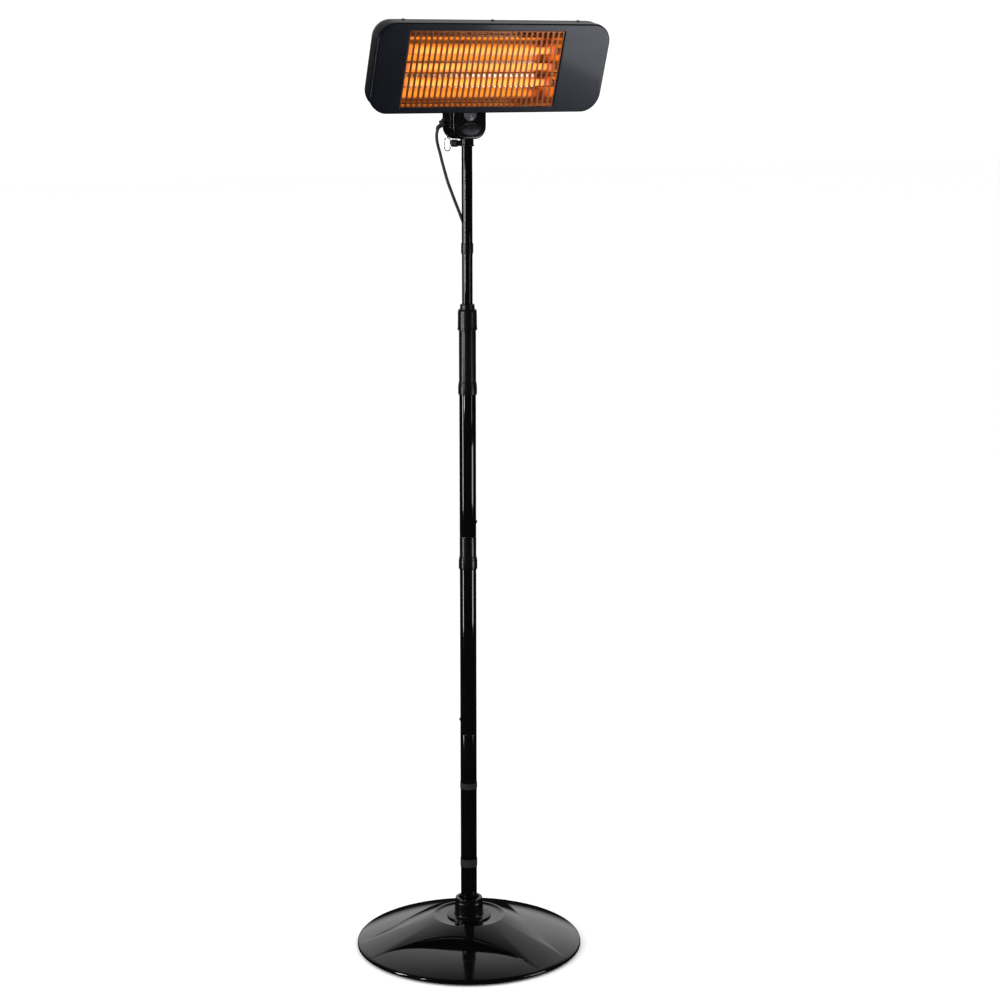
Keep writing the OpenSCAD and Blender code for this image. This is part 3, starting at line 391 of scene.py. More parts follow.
def ceramicFinish(name):
    # unglazed ceramic with grey specks
    material, tree = newFinish(name)
    place = objectPoint(tree)
    specks = (noise(tree, place, 650.0, 1.0) - 0.62).clamped() * 4.0
    chalk = noise(tree, place, 90.0, 4.0)
    colour = mixColour(tree, specks.clamped(), (0.82, 0.80, 0.75, 1), (0.42, 0.40, 0.37, 1))
    bump = tree.put("Bump", {}, {"Height": chalk, "Strength": 0.3, "Distance": 0.0002})
    shader = tree.put("BsdfPrincipled", {}, {
        "Base Color": colour, "Roughness": (0.62 + chalk * 0.25).clamped(), "Normal": bump})
    finishWith(tree, shader)
    return material


def lensFinish(name):
    # a smoky moulded lens: its tone drifts in soft noise patches
    material, tree = newFinish(name)
    place = objectPoint(tree)
    haze = noise(tree, place, 110.0, 3.0)
    colour = mixColour(tree, haze, (0.05, 0.05, 0.055, 1), (0.12, 0.12, 0.13, 1))
    bump = tree.put("Bump", {}, {"Height": noise(tree, place, 900.0, 1.0), "Strength": 0.15,
                                 "Distance": 0.0002})
    shader = tree.put("BsdfPrincipled", {}, {
        "Base Color": colour, "Roughness": (0.14 + haze * 0.2).clamped(), "Coat Weight": 0.6,
        "Normal": bump})
    finishWith(tree, shader)
    return material


glossBlack = {"dark": (0.0012, 0.0012, 0.0014), "light": (0.0022, 0.0022, 0.0026), "roughness": 0.10,
              "glossDrift": 0.07, "smear": 0.05, "grainScale": 240.0, "bump": 0.03, "coat": 0.3,
              "dust": 0.02}
enamelBlack = {"dark": (0.0012, 0.0012, 0.0014), "light": (0.0024, 0.0024, 0.0028), "roughness": 0.07,
               "glossDrift": 0.05, "smear": 0.04, "grainScale": 380.0, "bump": 0.008, "coat": 0.3,
               "dust": 0.02}
mouldedBlack = {"dark": (0.0014, 0.0014, 0.0016), "light": (0.0030, 0.0030, 0.0034), "roughness": 0.22,
                "glossDrift": 0.10, "smear": 0.06, "grainScale": 900.0, "bump": 0.08, "dust": 0.03}
lockBlack = {"dark": (0.0016, 0.0016, 0.0018), "light": (0.0034, 0.0034, 0.0038), "roughness": 0.26,
             "glossDrift": 0.10, "smear": 0.06, "grainScale": 1100.0, "bump": 0.10, "dust": 0.03}
knuckleBlack = {"dark": (0.0012, 0.0012, 0.0014), "light": (0.0026, 0.0026, 0.0030), "roughness": 0.12,
                "glossDrift": 0.07, "smear": 0.05, "grainScale": 600.0, "bump": 0.04, "coat": 0.3,
                "dust": 0.02}
graphite = {"dark": (0.006, 0.0075, 0.012), "light": (0.012, 0.015, 0.024), "roughness": 0.24,
            "glossDrift": 0.08, "smear": 0.05, "smearStretch": (9, 60, 60), "grainScale": 1500.0,
            "bump": 0.08, "metallic": 0.6, "coat": 0.15, "dust": 0.04}
shellBlack = {"dark": (0.0016, 0.0016, 0.0020), "light": (0.0036, 0.0036, 0.0042), "roughness": 0.38,
              "glossDrift": 0.08, "smear": 0.05, "grainScale": 1300.0, "bump": 0.30, "depth": 0.0003,
              "dust": 0.03}
powderBlack = {"dark": (0.015, 0.015, 0.016), "light": (0.034, 0.034, 0.036), "roughness": 0.5,
               "glossDrift": 0.10, "smear": 0.05, "grainScale": 1000.0, "bump": 0.4, "depth": 0.0003}
footRubber = {"dark": (0.012, 0.012, 0.012), "light": (0.035, 0.035, 0.035), "roughness": 0.75,
              "glossDrift": 0.12, "smear": 0.05, "grainScale": 1200.0, "bump": 0.3}
knobBlack = {"dark": (0.006, 0.006, 0.006), "light": (0.016, 0.016, 0.016), "roughness": 0.45,
             "glossDrift": 0.10, "smear": 0.06, "grainScale": 1500.0, "bump": 0.2}
paleNylon = {"dark": (0.55, 0.54, 0.50), "light": (0.72, 0.71, 0.67), "roughness": 0.42,
             "glossDrift": 0.12, "smear": 0.08, "grainScale": 900.0, "bump": 0.1}
sheathBlack = {"dark": (0.012, 0.012, 0.013), "light": (0.030, 0.030, 0.032), "roughness": 0.38}
strapBlack = {"dark": (0.006, 0.006, 0.006), "light": (0.028, 0.028, 0.028), "weave": (150.0, 60.0, 1.0)}
plainSteel = {"dark": (0.30, 0.30, 0.31), "light": (0.48, 0.48, 0.49), "roughness": 0.34, "lineRough": 0.2,
              "brush": (30, 30, 500), "bump": 0.2}
zincPlate = {"dark": (0.50, 0.50, 0.48), "light": (0.68, 0.68, 0.69), "roughness": 0.26, "lineRough": 0.2,
             "brush": (400, 400, 400), "patchScale": 220.0, "bump": 0.2}
brightWire = {"dark": (0.60, 0.60, 0.61), "light": (0.78, 0.78, 0.79), "roughness": 0.14, "lineRough": 0.12,
              "brush": (300, 300, 40), "bump": 0.1}
satinCap = {"dark": (0.06, 0.06, 0.065), "light": (0.11, 0.11, 0.118), "roughness": 0.34, "lineRough": 0.22,
            "brush": (12, 300, 700), "bump": 0.25}
mirrorSheet = {"dark": (0.72, 0.60, 0.46), "light": (0.88, 0.76, 0.62), "roughness": 0.18, "lineRough": 0.10,
               "brush": (6, 600, 600), "bump": 0.05}
# painted glow: plain steel grille bars coloured orange-brown as if lit by the glowing coils behind them
glowLitGrille = {"dark": (0.17, 0.055, 0.025), "light": (0.34, 0.14, 0.07), "roughness": 0.30, "lineRough": 0.2,
             "brush": (500, 500, 20), "bump": 0.2}

windowMiddle = (lowHigh("grille")[0][0] + lowHigh("grille")[1][0]) / 2 * mm
coilGlow = {"middle": windowMiddle, "reach": 0.160, "fade": 0.02, "rippleScale": 700.0, "strength": 4.2,
            "roughness": 0.5, "cold": (0.12, 0.08, 0.06),
            "stops": [(0.0, (0.02, 0.005, 0.0)), (0.35, (0.9, 0.10, 0.005)), (1.0, (1.0, 0.30, 0.03))]}
quartzGlow = {"middle": windowMiddle, "reach": 0.166, "fade": 0.035, "rippleScale": 60.0, "strength": 1.1,
              "roughness": 0.45, "cold": (0.4, 0.25, 0.15), "alpha": 0.5,
              "stops": [(0.0, (0.01, 0.003, 0.0)), (0.4, (0.8, 0.12, 0.01)), (1.0, (1.0, 0.36, 0.035))]}

finishes = {
    "base": paintFinish("GlossBlackBase", glossBlack),
    "enamel": paintFinish("EnamelBlack", enamelBlack),
    "moulding": paintFinish("MouldedBlack", mouldedBlack),
    "lock": paintFinish("LockBlack", lockBlack),
    "knuckle": paintFinish("KnuckleBlack", knuckleBlack),
    "panel": paintFinish("GraphitePanel", graphite),
    "shell": paintFinish("HousingBlack", shellBlack),
    "tray": paintFinish("PowderBlack", powderBlack),
    "foot": paintFinish("FootRubber", footRubber),
    "knob": paintFinish("KnobBlack", knobBlack),
    "gland": paintFinish("GlandRubber", footRubber),
    "plug": paintFinish("PlugBlack", knobBlack),
    "nylon": paintFinish("PaleNylon", paleNylon),
    "cord": jacketFinish("CordSheath", sheathBlack),
    "strap": wovenFinish("StrapWeave", strapBlack),
    "steel": metalFinish("PlainSteel", plainSteel),
    "zinc": metalFinish("ZincPlate", zincPlate),
    "wire": metalFinish("BrightWire", brightWire),
    "cap": metalFinish("SatinCap", satinCap),
    "reflector": metalFinish("ReflectorSheet", mirrorSheet),
    "grille": metalFinish("GrilleSteelPaintedGlow", glowLitGrille),
    "iron": castFinish("CastIron"),
    "ceramic": ceramicFinish("Ceramic"),
    "lens": lensFinish("SmokyLens"),
    "coil": hotFinish("GlowingCoil", coilGlow),
    "quartz": hotFinish("QuartzGlow", quartzGlow),
}
print("finishes made:", len(finishes))


# Camera: as someone stands in front of the heater, a little to its right.

view = {"turn": 28.0, "distance": 4.444, "height": 1.7895, "down": 10.92, "pan": 0.825, "lens": 81.8}


def addCamera(view):
    turn = math.radians(view["turn"])
    camera = bpy.data.objects.new("Camera", bpy.data.cameras.new("Camera"))
    camera.data.lens = view["lens"]
    camera.data.sensor_width = 36.0
    camera.location = (-math.sin(turn) * view["distance"], -math.cos(turn) * view["distance"],
                       view["height"])
    camera.rotation_euler = (math.radians(90 - view["down"]), 0, -turn - math.radians(view["pan"]))
    bpy.context.scene.collection.objects.link(camera)
    bpy.context.scene.camera = camera


addCamera(view)
print("camera placed")


# The mains cord: out of the knuckle, round to the clip, down the back of the mast and into its hank.

cordShape = {
    "radius": 3.0, "rearTurn": 62.0, "sides": 14, "step": 4.0,
    "upper": [(-50, 27, 1659.5), (-51, 28, 1653.5), (-51, 28.5, 1646.5), (-50, 28.5, 1637.5),
              (-47.5, 28, 1626.5),
              (-44, 27, 1613.5), (-40, 26.5, 1597.5), (-35, 25.5, 1579.5), (-30, 24, 1561.5),
              (-23.5, 22.5, 1543.5),
              (-17, 20.5, 1525.5), (-10.5, 18.5, 1508.5), (-4, 17, 1491.5), (1.5, 15.5, 1475.5),
              (5.5, 15, 1460.5),
              (7.5, 14.5, 1447.5), (7.5, 14.5, 1443.1)],
    "lower": [(16.3, 0, 1442.8), (16.6, 0, 1435), (18.1, 0, 1427), (20.6, 0, 1417), (22.3, 0, 1407),
              (22.75, 0, 1397), (22.75, 0, 1360), (22.75, 0, 1314.5), (22.75, 0, 1234.5),
              (22.75, 0, 1124.5), (22.75, 0, 1004.5), (22.75, 0, 884.5), (22.75, 0, 764.5),
              (22.75, 0, 644.5), (22.75, 0, 524.5), (22.75, 0, 404.5), (22.75, 0, 349.5),
              (22.75, -1.5, 316.5), (22.75, -5.5, 284.5), (22.75, -8.6, 256.5)],
    "hank": {"turns": 4, "near": 22.75, "far": 58.75, "foot": 123.5, "head": 228.5, "pitch": 6.1},
    "tail": [(58.55, 9.15, 240.5), (56.25, 8.9, 253.5), (50.75, 7.6, 266.5), (44.25, 4.6, 279.5),
             (39.75, 1.4, 292.5),
             (38.25, 0, 304.5)],
}


def hankPath(shape):
    # flat turns side by side: down near the mast, round, up on the far side, and over with one pitch across
    middle, bend = (shape["near"] + shape["far"]) / 2, (shape["far"] - shape["near"]) / 2
    half = np.linspace(0, math.pi, 13)
    run = np.linspace(0, 1, 7)[1:-1]
    turns = []
    for k in range(shape["turns"]):
        across = (k - (shape["turns"] - 1) / 2) * shape["pitch"]
        down = np.column_stack([np.full(5, shape["near"]), np.full(5, across),
                                shape["head"] + (shape["foot"] - shape["head"]) * run])
        under = np.column_stack([middle - bend * np.cos(half), np.full(13, across),
                                 shape["foot"] - bend * np.sin(half)])
        rise = np.column_stack([np.full(5, shape["far"]), np.full(5, across), down[::-1, 2]])
        turns += [down, under, rise]
        if k < shape["turns"] - 1:
            shift = (1 - np.cos(half)) / 2 * shape["pitch"]
            turns.append(np.column_stack([middle + bend * np.cos(half), across + shift,
                                          shape["head"] + bend * np.sin(half)]))
    return np.vstack(turns)


def addCords(shape):
    upper = smoothPath(shape["upper"], shape["step"])
    upperCord = addPiece("cordUpper", swept(upper, circle(shape["radius"], shape["sides"]),
                                            (0.47, 0.88, 0.0)),
                         None, "cord", ["cord_upper"])
    rear = np.vstack([shape["lower"], hankPath(shape["hank"]), shape["tail"]])
    lower = spun(smoothPath(rear, shape["step"]), shape["rearTurn"])
    across = spun(np.array([[0.0, 1.0, 0.0]]), shape["rearTurn"])[0]
    lowerCord = addPiece("cordLower", swept(lower, circle(shape["radius"], shape["sides"]), across),
                         None, "cord", ["cord_lower", "cord_hank", "cord_tail"])
    print("cord lengths in mm:", round(pathLength(upper)), round(pathLength(lower)))
    return upperCord, upper, lowerCord, lower


upperCord, upperLine, lowerCord, lowerLine = addCords(cordShape)
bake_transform(upperCord)
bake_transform(lowerCord)


# Base: a shallow cone with three arched steps, a hub ring, a rounded shoulder and an upright rim.

baseShape = {
    "turn": -39.0, "rimRadius": 230.0, "shoulder": 4.0, "coneFoot": 226.0, "rimTop": 12.0, "low": 4.0,
    "hubRadius": 74.0, "hubTop": 63.5, "floorRadius": 66.0, "hubFloor": 60.0, "arches": 3,
    "archReach": 104.0,
    "archRadius": 354.0, "lensTop": 38.3, "lensPower": 3.2, "lensFoot": 11.6, "hole": 5.3, "wall": 3.0,
    "columns": 600, "lensRows": 10,
}


def archEdge(angle, shape):
    # how far from the mast each arch runs in a given direction, held at the cone's foot beyond its ends
    centre = shape["archReach"] + shape["archRadius"]
    step = 2 * math.pi / shape["arches"]
    off = (angle + step / 2) % step - step / 2
    inside = np.maximum(shape["archRadius"] ** 2 - (centre * np.sin(off)) ** 2, 0)
    edge = centre * np.cos(off) - np.sqrt(inside)
    past = (centre * np.abs(np.sin(off)) > shape["archRadius"]) | (edge > shape["coneFoot"] - 0.4)
    return np.where(past, shape["coneFoot"] - 0.4, edge)


def baseSection(shape, wall):
    # one profile of radius and height for each direction, from the centre hole to the foot of the rim
    angle = np.linspace(0, 2 * math.pi, shape["columns"], endpoint=False)
    edge = archEdge(angle, shape)
    slope = (shape["hubTop"] - shape["rimTop"]) / (shape["coneFoot"] - shape["hubRadius"])
    coneAt = shape["rimTop"] + slope * (shape["coneFoot"] - edge)

    def lensAt(r):
        drop = (r / shape["coneFoot"]) ** shape["lensPower"]
        return shape["lensFoot"] + (shape["lensTop"] - shape["lensFoot"]) * (1 - drop)

    def column(r, z):
        return np.stack([np.broadcast_to(r, edge.shape), np.broadcast_to(z, edge.shape)], -1)

    rows = [column(shape["hole"], shape["hubFloor"]), column(shape["floorRadius"], shape["hubFloor"]),
            column(shape["hubRadius"] - 3.0, shape["hubTop"] - 0.2),
            column(shape["hubRadius"], shape["hubTop"]),
            column(edge, coneAt), column(edge + 0.25, lensAt(edge))]
    for s in np.linspace(0, 1, shape["lensRows"] + 1)[1:]:
        r = edge + (shape["coneFoot"] - edge) * s
        rows.append(column(r, lensAt(r)))
    foot, top = shape["shoulder"], shape["lensFoot"]
    rows += [column(shape["rimRadius"] - foot * 0.3, top - foot * 0.4),
             column(shape["rimRadius"], top - foot),
             column(shape["rimRadius"], shape["low"])]
    section = np.stack(rows, 1)
    if wall:
        section[..., 1] -= wall
        section[:, 1:, 0] -= wall * np.array([1, 1, 1, -1, -1] + [0] * shape["lensRows"] + [0.7, 1, 1])
        section[:, -1, 1] = shape["low"]
    return angle, section


def addBaseCover(shape):
    radii = [0, 3, 2.5, 1.2, 1.6, 2.2] + [60] * shape["lensRows"] + [2.5, 2.5, 0]
    angle, outside = baseSection(shape, 0)
    outside = easeCorners(outside, radii, 5)
    inside = baseSection(shape, shape["wall"])[1][:, ::-1]
    ring = np.concatenate([outside, inside], 1)
    turn = angle[:, None] + math.radians(shape["turn"] - 90)
    grid = np.stack([ring[..., 0] * np.cos(turn), ring[..., 0] * np.sin(turn), ring[..., 1]], -1)
    return addPiece("baseCover", grid, "base", "base", ["base_cover"], loopRows=True)


addBaseCover(baseShape)

footShape = {"count": 6, "ring": 207.0, "turn": -44.0, "radius": 13.0, "height": 4.0, "groove": 8.5}


def addFeet(shape):
    # a pad with a rounded tread edge and one shallow groove under it
    r, h = shape["radius"], shape["height"]
    profile = easeCorners([[0, h], [r, h], [r - 0.6, 0], [shape["groove"] + 1.2, 0], [shape["groove"], 0.8],
                           [shape["groove"] - 1.2, 0], [0, 0]], 0.5, 4)
    pad = turned(profile, 48)
    angles = [math.radians(shape["turn"] - 90 + 360 / shape["count"] * k) for k in range(shape["count"])]
    pads = [pad + np.array([shape["ring"] * math.cos(a), shape["ring"] * math.sin(a), 0]) for a in angles]
    return addPiece("footPads", pads, "base", "foot", ["rubber_feet"])


addFeet(footShape)

socketShape = {"flange": 45.0, "flangeTop": 3.5, "body": 30.0, "neck": 28.5, "top": 27.3, "mouth": 20.5}


def addSocket(shape):
    low, high = lowHigh("mast_socket")
    z0, z1 = low[2], high[2]
    bore = lowHigh("lower_tube")[1][0] + 0.15
    profile = easeCorners([
        [5.3, z0], [shape["flange"], z0], [shape["flange"], z0 + shape["flangeTop"]],
        [shape["body"] + 0.6, z0 + shape["flangeTop"] + 0.4], [shape["body"] - 0.4, z0 + 12],
        [shape["neck"], z1 - 10], [shape["neck"] - 1.0, z1 - 7.5], [shape["top"] + 0.3, z1 - 6],
        [shape["top"], z1], [shape["mouth"], z1], [bore, z1 - 9], [bore, z0 + 6], [5.3, z0 + 6]],
        [0, 0.4, 1.4, 2.2, 6, 1.5, 0.8, 1.2, 1.6, 1.4, 2.0, 0.3, 0], 6)
    return addPiece("mastSocket", turned(profile, 128), "base", "moulding", ["mast_socket"],
                    loopColumns=True)


addSocket(socketShape)
print("base built")


# Mast: three gloss tubes, two collars, the twist lock and the thin sliding tube.

tubeShape = {"wall": 1.5, "innerWall": 1.2, "edge": 0.4, "columns": 128}


def tubeProfile(radius, bore, low, high, edge):
    return easeCorners([[bore, low], [radius, low], [radius, high], [bore, high]], edge, 4, closed=True)


def addTube(name, node, body, finish, wall):
    low, high = lowHigh(node)
    radius = high[0]
    grid = turned(tubeProfile(radius, radius - wall, low[2], high[2], tubeShape["edge"]),
                  tubeShape["columns"])
    return addPiece(name, grid, body, finish, [node], loopRows=True)


for name, node in [("lowerTube", "lower_tube"), ("middleTube", "middle_tube"), ("upperTube", "upper_tube")]:
    addTube(name, node, "base", "enamel", tubeShape["wall"])
addTube("innerTube", "inner_tube", "inner_mast", "enamel", tubeShape["innerWall"])

collarShape = {"ring": 25.0, "sleeve": 16.6, "bore": 15.0}


def addLowerCollar(shape):
    # a ring with a shallow step near its top, and a slim sleeve up to the next tube
    low, high = lowHigh("lower_collar")
    r, z0, z1 = high[0], low[2], low[2] + shape["ring"]
    profile = easeCorners([
        [shape["sleeve"], z0], [r - 0.4, z0], [r, z0 + 2], [r - 0.1, z1 - 6], [r - 0.7, z1 - 5.2],
        [r - 0.8, z1 - 1.2], [shape["sleeve"] + 0.5, z1], [shape["sleeve"], z1 + 0.6],
        [shape["sleeve"], high[2]], [shape["bore"], high[2]], [shape["bore"], z0 + 21],
        [shape["sleeve"], z0 + 21]],
        [0.3, 0.6, 1.2, 0.6, 0.5, 1.4, 0.6, 0.8, 0.8, 0.3, 0.3, 0.3], 5, closed=True)
    return addPiece("lowerCollar", turned(profile, 128), "base", "moulding", ["lower_collar"], loopRows=True)


addLowerCollar(collarShape)

lockShape = {"bore": 10.8, "sleeve": 16.8, "stub": 14.85, "skirt": 16.6, "throat": 13.3, "ringBore": 15.15,
             "ringLip": 14.6, "ribs": 30, "ribDepth": 0.35, "ribLow": 7.0, "ribHigh": 9.0}


def addLockBody(shape):
    low, high = lowHigh("lock_body")
    z0, r = low[2] + 30, high[0]
    z1 = z0 + 25
    foot = lowHigh("lock_collar")[0][2]
    profile = easeCorners([
        [shape["bore"], z0 - 30], [shape["stub"], z0 - 30], [shape["stub"], z0 + 13],
        [shape["skirt"], z0 + 13], [shape["skirt"], z0],
        [r - 0.4, z0], [r, z0 + 2], [r - 0.1, z1 - 6], [r - 0.7, z1 - 5.2], [r - 0.8, z1 - 1.2],
        [shape["sleeve"] + 0.5, z1], [shape["sleeve"], z1 + 0.8], [shape["sleeve"], foot - 0.3],
        [shape["stub"], foot - 0.3], [shape["stub"], high[2]], [shape["throat"], high[2]],
        [shape["throat"], foot + 8],
        [shape["bore"], foot + 5]],
        [0.4, 0.6, 0.3, 0.3, 0.3, 0.6, 1.2, 0.6, 0.5, 1.4, 0.6, 0.8, 0.6, 0.3, 0.6, 0.3, 0.3, 0.3], 5,
        closed=True)
    return addPiece("lockBody", turned(profile, 128), "base", "lock", ["lock_body"], loopRows=True)


def addLockRing(shape):
    # the twist ring: soft ribs run up its waist and fade out at both ends
    low, high = lowHigh("lock_collar")
    z0, z1, r = low[2], high[2], high[0]
    bore, lip = shape["ringBore"], shape["ringLip"]
    outside = easeCorners([[bore, z0], [r, z0], [r, z0 + 1.6], [r - 0.7, z0 + 6], [r - 1.0, z1 - 4],
                           [r - 2.4, z1], [lip, z1]], [0.3, 0.8, 1.0, 4.0, 3.0, 1.2, 0.3], 8)
    inside = np.array([[lip, z1 - 6.5], [bore, z1 - 7.5]])
    profile = np.vstack([outside, inside])
    grid = turned(profile, shape["ribs"] * 8)
    angle = np.linspace(0, 2 * math.pi, grid.shape[0], endpoint=False)[:, None]
    height = profile[:, 1]
    lowEnd = np.clip((height - z0 - shape["ribLow"]) / 3, 0, 1)
    highEnd = np.clip((z1 - shape["ribHigh"] - height) / 3, 0, 1)
    fade = lowEnd * highEnd
    skin = (np.arange(len(profile)) < len(outside)) * fade
    dent = 1 - shape["ribDepth"] / r * (0.5 + 0.5 * np.cos(angle * shape["ribs"])) * skin
    grid[..., :2] *= dent[..., None]
    return addPiece("lockRing", grid, "lock_ring", "lock", ["lock_collar"], loopRows=True)


colletShape = {"bore": 10.8, "body": 13.1, "head": 14.3, "mouth": 12.8}


def addCollet(shape):
    low, high = lowHigh("collet")
    z1, neck = high[2], lowHigh("lock_body")[1][2]
    profile = easeCorners([[shape["bore"], low[2]], [shape["body"], low[2]], [shape["body"], neck + 0.3],
                           [shape["head"], neck + 0.3], [shape["head"], z1 - 1.0], [shape["mouth"], z1],
                           [shape["bore"], z1]], 0.7, 5, closed=True)
    return addPiece("colletRing", turned(profile, 128), "base", "lock", ["collet"], loopRows=True)


addLockBody(lockShape)
addLockRing(lockShape)
addCollet(colletShape)

clipShape = {"ring": 11.9, "hook": 16.3, "hookRadius": 5.0, "cordRadius": 3.25, "gap": 68.0}


def addClip(shape):
    # a ring round the thin tube, and a C-shaped hook behind it that holds the cord
    low, high = lowHigh("cord_clip")
    z0, z1 = low[2], high[2]
    ring = turned(easeCorners([[10.55, z0], [shape["ring"] - 0.3, z0], [shape["ring"], z0 + 2.5],
                               [shape["ring"], z1 - 2.5], [shape["ring"] - 0.3, z1], [10.55, z1]],
                              0.9, 5, closed=True), 96)
    half = math.radians(180 - shape["gap"] / 2)
    bend = np.linspace(-half, half, 33) + math.pi + math.radians(20)
    middle = (shape["hookRadius"] + shape["cordRadius"]) / 2
    path = np.column_stack([shape["hook"] + middle * np.cos(bend), middle * np.sin(bend),
                            np.full(33, (z0 + z1) / 2)])
    section = roundedRect((shape["hookRadius"] - shape["cordRadius"]) / 2, (z1 - z0) / 2, 0.7, 5)
    hook = spun(swept(path, section, (0, 0, 1)), cordShape["rearTurn"])
    addPiece("clipRing", ring, "inner_mast", "moulding", ["cord_clip"], loopRows=True)
    addPiece("clipHook", hook, "inner_mast", "moulding")


addClip(clipShape)
print("mast built")


# Knuckle: two moulded halves with a U-shaped face, a lens, an oval cap and the clamp.

knuckleShape = {"half": 35.5, "corner": 24.0, "low": 1642.5, "seam": 0.8, "edge": 1.6, "wall": 2.5,
                "earIn": 20.0, "earOut": 27.0, "earRadius": 13.0, "earFoot": 1706.5, "pivotY": 14.0,
                "pivotZ": 1729.5}


def uOutline(inset, shape, top):
    # straight sides and top, and two round lower corners, taken anticlockwise from the lower right
    w, r = shape["half"] - inset, shape["corner"] - inset
    cx, cz = shape["half"] - shape["corner"], shape["low"] + shape["corner"]
    turn = np.linspace(0, math.pi / 2, 14)
    small = 3.0
    t = top - inset
    left = np.column_stack([-cx + r * np.cos(turn + math.pi), cz + r * np.sin(turn + math.pi)])
    right = np.column_stack([cx + r * np.cos(turn - math.pi / 2), cz + r * np.sin(turn - math.pi / 2)])
    upRight = np.column_stack([w - small + small * np.cos(turn), t - small + small * np.sin(turn)])
    upLeft = np.column_stack([-w + small + small * np.cos(turn + math.pi / 2),
                              t - small + small * np.sin(turn + math.pi / 2)])
    return np.vstack([left, right, upRight, upLeft])


def addKnuckleFront(shape):
    low, high = lowHigh("knuckle_front")
    rim = easeCorners([[6.0, low[1]], [0, low[1]], [0, shape["seam"] - 0.4], [0.35, shape["seam"]],
                       [shape["wall"], shape["seam"]]], [0, shape["edge"] + 1.6, 0.2, 0.2, 0], 7)
    inner = np.array([[shape["wall"], low[1] + 1.8]])
    levels = np.vstack([rim, inner])
    grid = sideways(stacked(lambda inset: uOutline(inset, shape, high[2]), levels))
    return addPiece("knuckleFront", closedEnds(grid), "knuckle", "knuckle", ["knuckle_front"])


def earShape(shape, side):
    # a rounded tab that holds the tilt bolt
    turn = np.linspace(0, math.pi, 25)
    r = shape["earRadius"]
    y, z = shape["pivotY"], shape["pivotZ"]

    def outlineAt(inset):
        arc = np.column_stack([y + (r - inset) * np.cos(turn), z + (r - inset) * np.sin(turn)])
        foot = np.array([[y - r + inset, shape["earFoot"]], [y + r - inset, shape["earFoot"]]])
        return np.vstack([arc, foot])

    rim = easeCorners([[3.0, shape["earIn"]], [0, shape["earIn"]], [0, shape["earOut"]],
                       [3.0, shape["earOut"]]], 1.2, 5)
    grid = closedEnds(stacked(outlineAt, rim))[..., [2, 0, 1]]
    grid[..., 0] *= side
    return grid


def addKnuckleBack(shape):
    high = lowHigh("knuckle_back")[1]
    top = lowHigh("knuckle_front")[1][2]
    rim = easeCorners([[shape["wall"], 1.0], [0.35, 1.0], [0, 1.4], [0, high[1]], [8.0, high[1]]],
                      [0, 0.2, 0.2, 4.5, 0], 8)
    inner = np.array([[shape["wall"], high[1] - 3.0], [shape["wall"], 1.0]])
    levels = np.vstack([rim[::-1], inner[1:]])
    shell = sideways(stacked(lambda inset: uOutline(inset, shape, top), levels))
    grids = [closedEnds(shell), earShape(shape, -1), earShape(shape, 1)]
    return addPiece("knuckleBack", grids, "knuckle", "knuckle", ["knuckle_back"])


addKnuckleFront(knuckleShape)
addKnuckleBack(knuckleShape)

capShape = {"halfWidth": 23.5, "halfHeight": 13.0, "rise": 2.2, "rim": 1.2}


def addOvalCap(shape):
    # an oval plate with a rolled rim and a slightly crowned face
    low, high = lowHigh("oval_cap")
    z = (low[2] + high[2]) / 2
    face = high[1]
    angle = np.linspace(0, 2 * math.pi, 96, endpoint=False)
    steps = easeCorners([[0, 0], [0, -shape["rise"] * 0.75], [shape["rim"], -shape["rise"]],
                         [shape["rim"] * 1.7, -shape["rise"] + 0.45], [6.0, -shape["rise"]],
                         [12.9, -shape["rise"] - 0.3]], [0, 0.7, 0.6, 0.5, 3.0, 0], 6)
    inset, depth = steps.T
    grid = np.stack([(shape["halfWidth"] - inset)[:, None] * np.cos(angle),
                     (face + depth)[:, None] + 0 * angle,
                     z + (shape["halfHeight"] - inset)[:, None] * np.sin(angle)], -1)
    return addPiece("ovalCap", closedEnds(grid), "knuckle", "cap", ["oval_cap"])


def addLens():
    # a stepped round lens that domes to a blunt middle
    low, high = lowHigh("pilot_lens")
    centre = (0, high[1], (low[2] + high[2]) / 2)
    r = high[0]
    profile = easeCorners([[0, 0], [r, 0], [r, 2.1], [r - 1.4, 2.7], [r - 2.2, 2.2], [r * 0.62, 3.0],
                           [r * 0.5, 2.6], [0, 3.8]], [0, 0.3, 0.8, 0.4, 0.5, 0.8, 0.8, 0], 6)
    return addPiece("pilotLens", aimed(turned(profile, 72), centre, (0, -1, 0)), "knuckle", "lens",
                    ["pilot_lens"])


addOvalCap(capShape)
addLens()


knobShape = {"turn": 140.0, "height": 1634.5, "radius": 7.5, "low": 18.0, "high": 32.0, "lobes": 8,
             "dent": 0.09, "screw": 2.5}


def addNeck():
    low, high = lowHigh("neck_sleeve")
    z0, seat = low[2], knuckleShape["low"]
    profile = easeCorners([[10.6, z0], [14.2, z0], [14.2, z0 + 3.0], [13.0, z0 + 3.6], [13.0, seat + 0.6],
                           [11.5, seat + 0.6], [11.5, high[2]], [0, high[2]], [0, high[2] - 3],
                           [10.6, high[2] - 3]],
                          [0.4, 0.8, 0.8, 0.4, 0.2, 0.3, 0.6, 0, 0, 0.3], 5, closed=True)
    turn = math.radians(knobShape["turn"])
    boss = aimed(turned(easeCorners([[2.8, 10.9], [5.5, 10.9], [5.5, 17.5], [2.8, 17.5]], 0.8, 5,
                                    closed=True), 48),
                 (0, 0, knobShape["height"]), (math.cos(turn), math.sin(turn), 0))
    addPiece("neckSleeve", turned(profile, 96), "knuckle", "moulding", ["neck_sleeve"], loopRows=True)
    addPiece("clampBoss", boss, "knuckle", "moulding", loopRows=True)


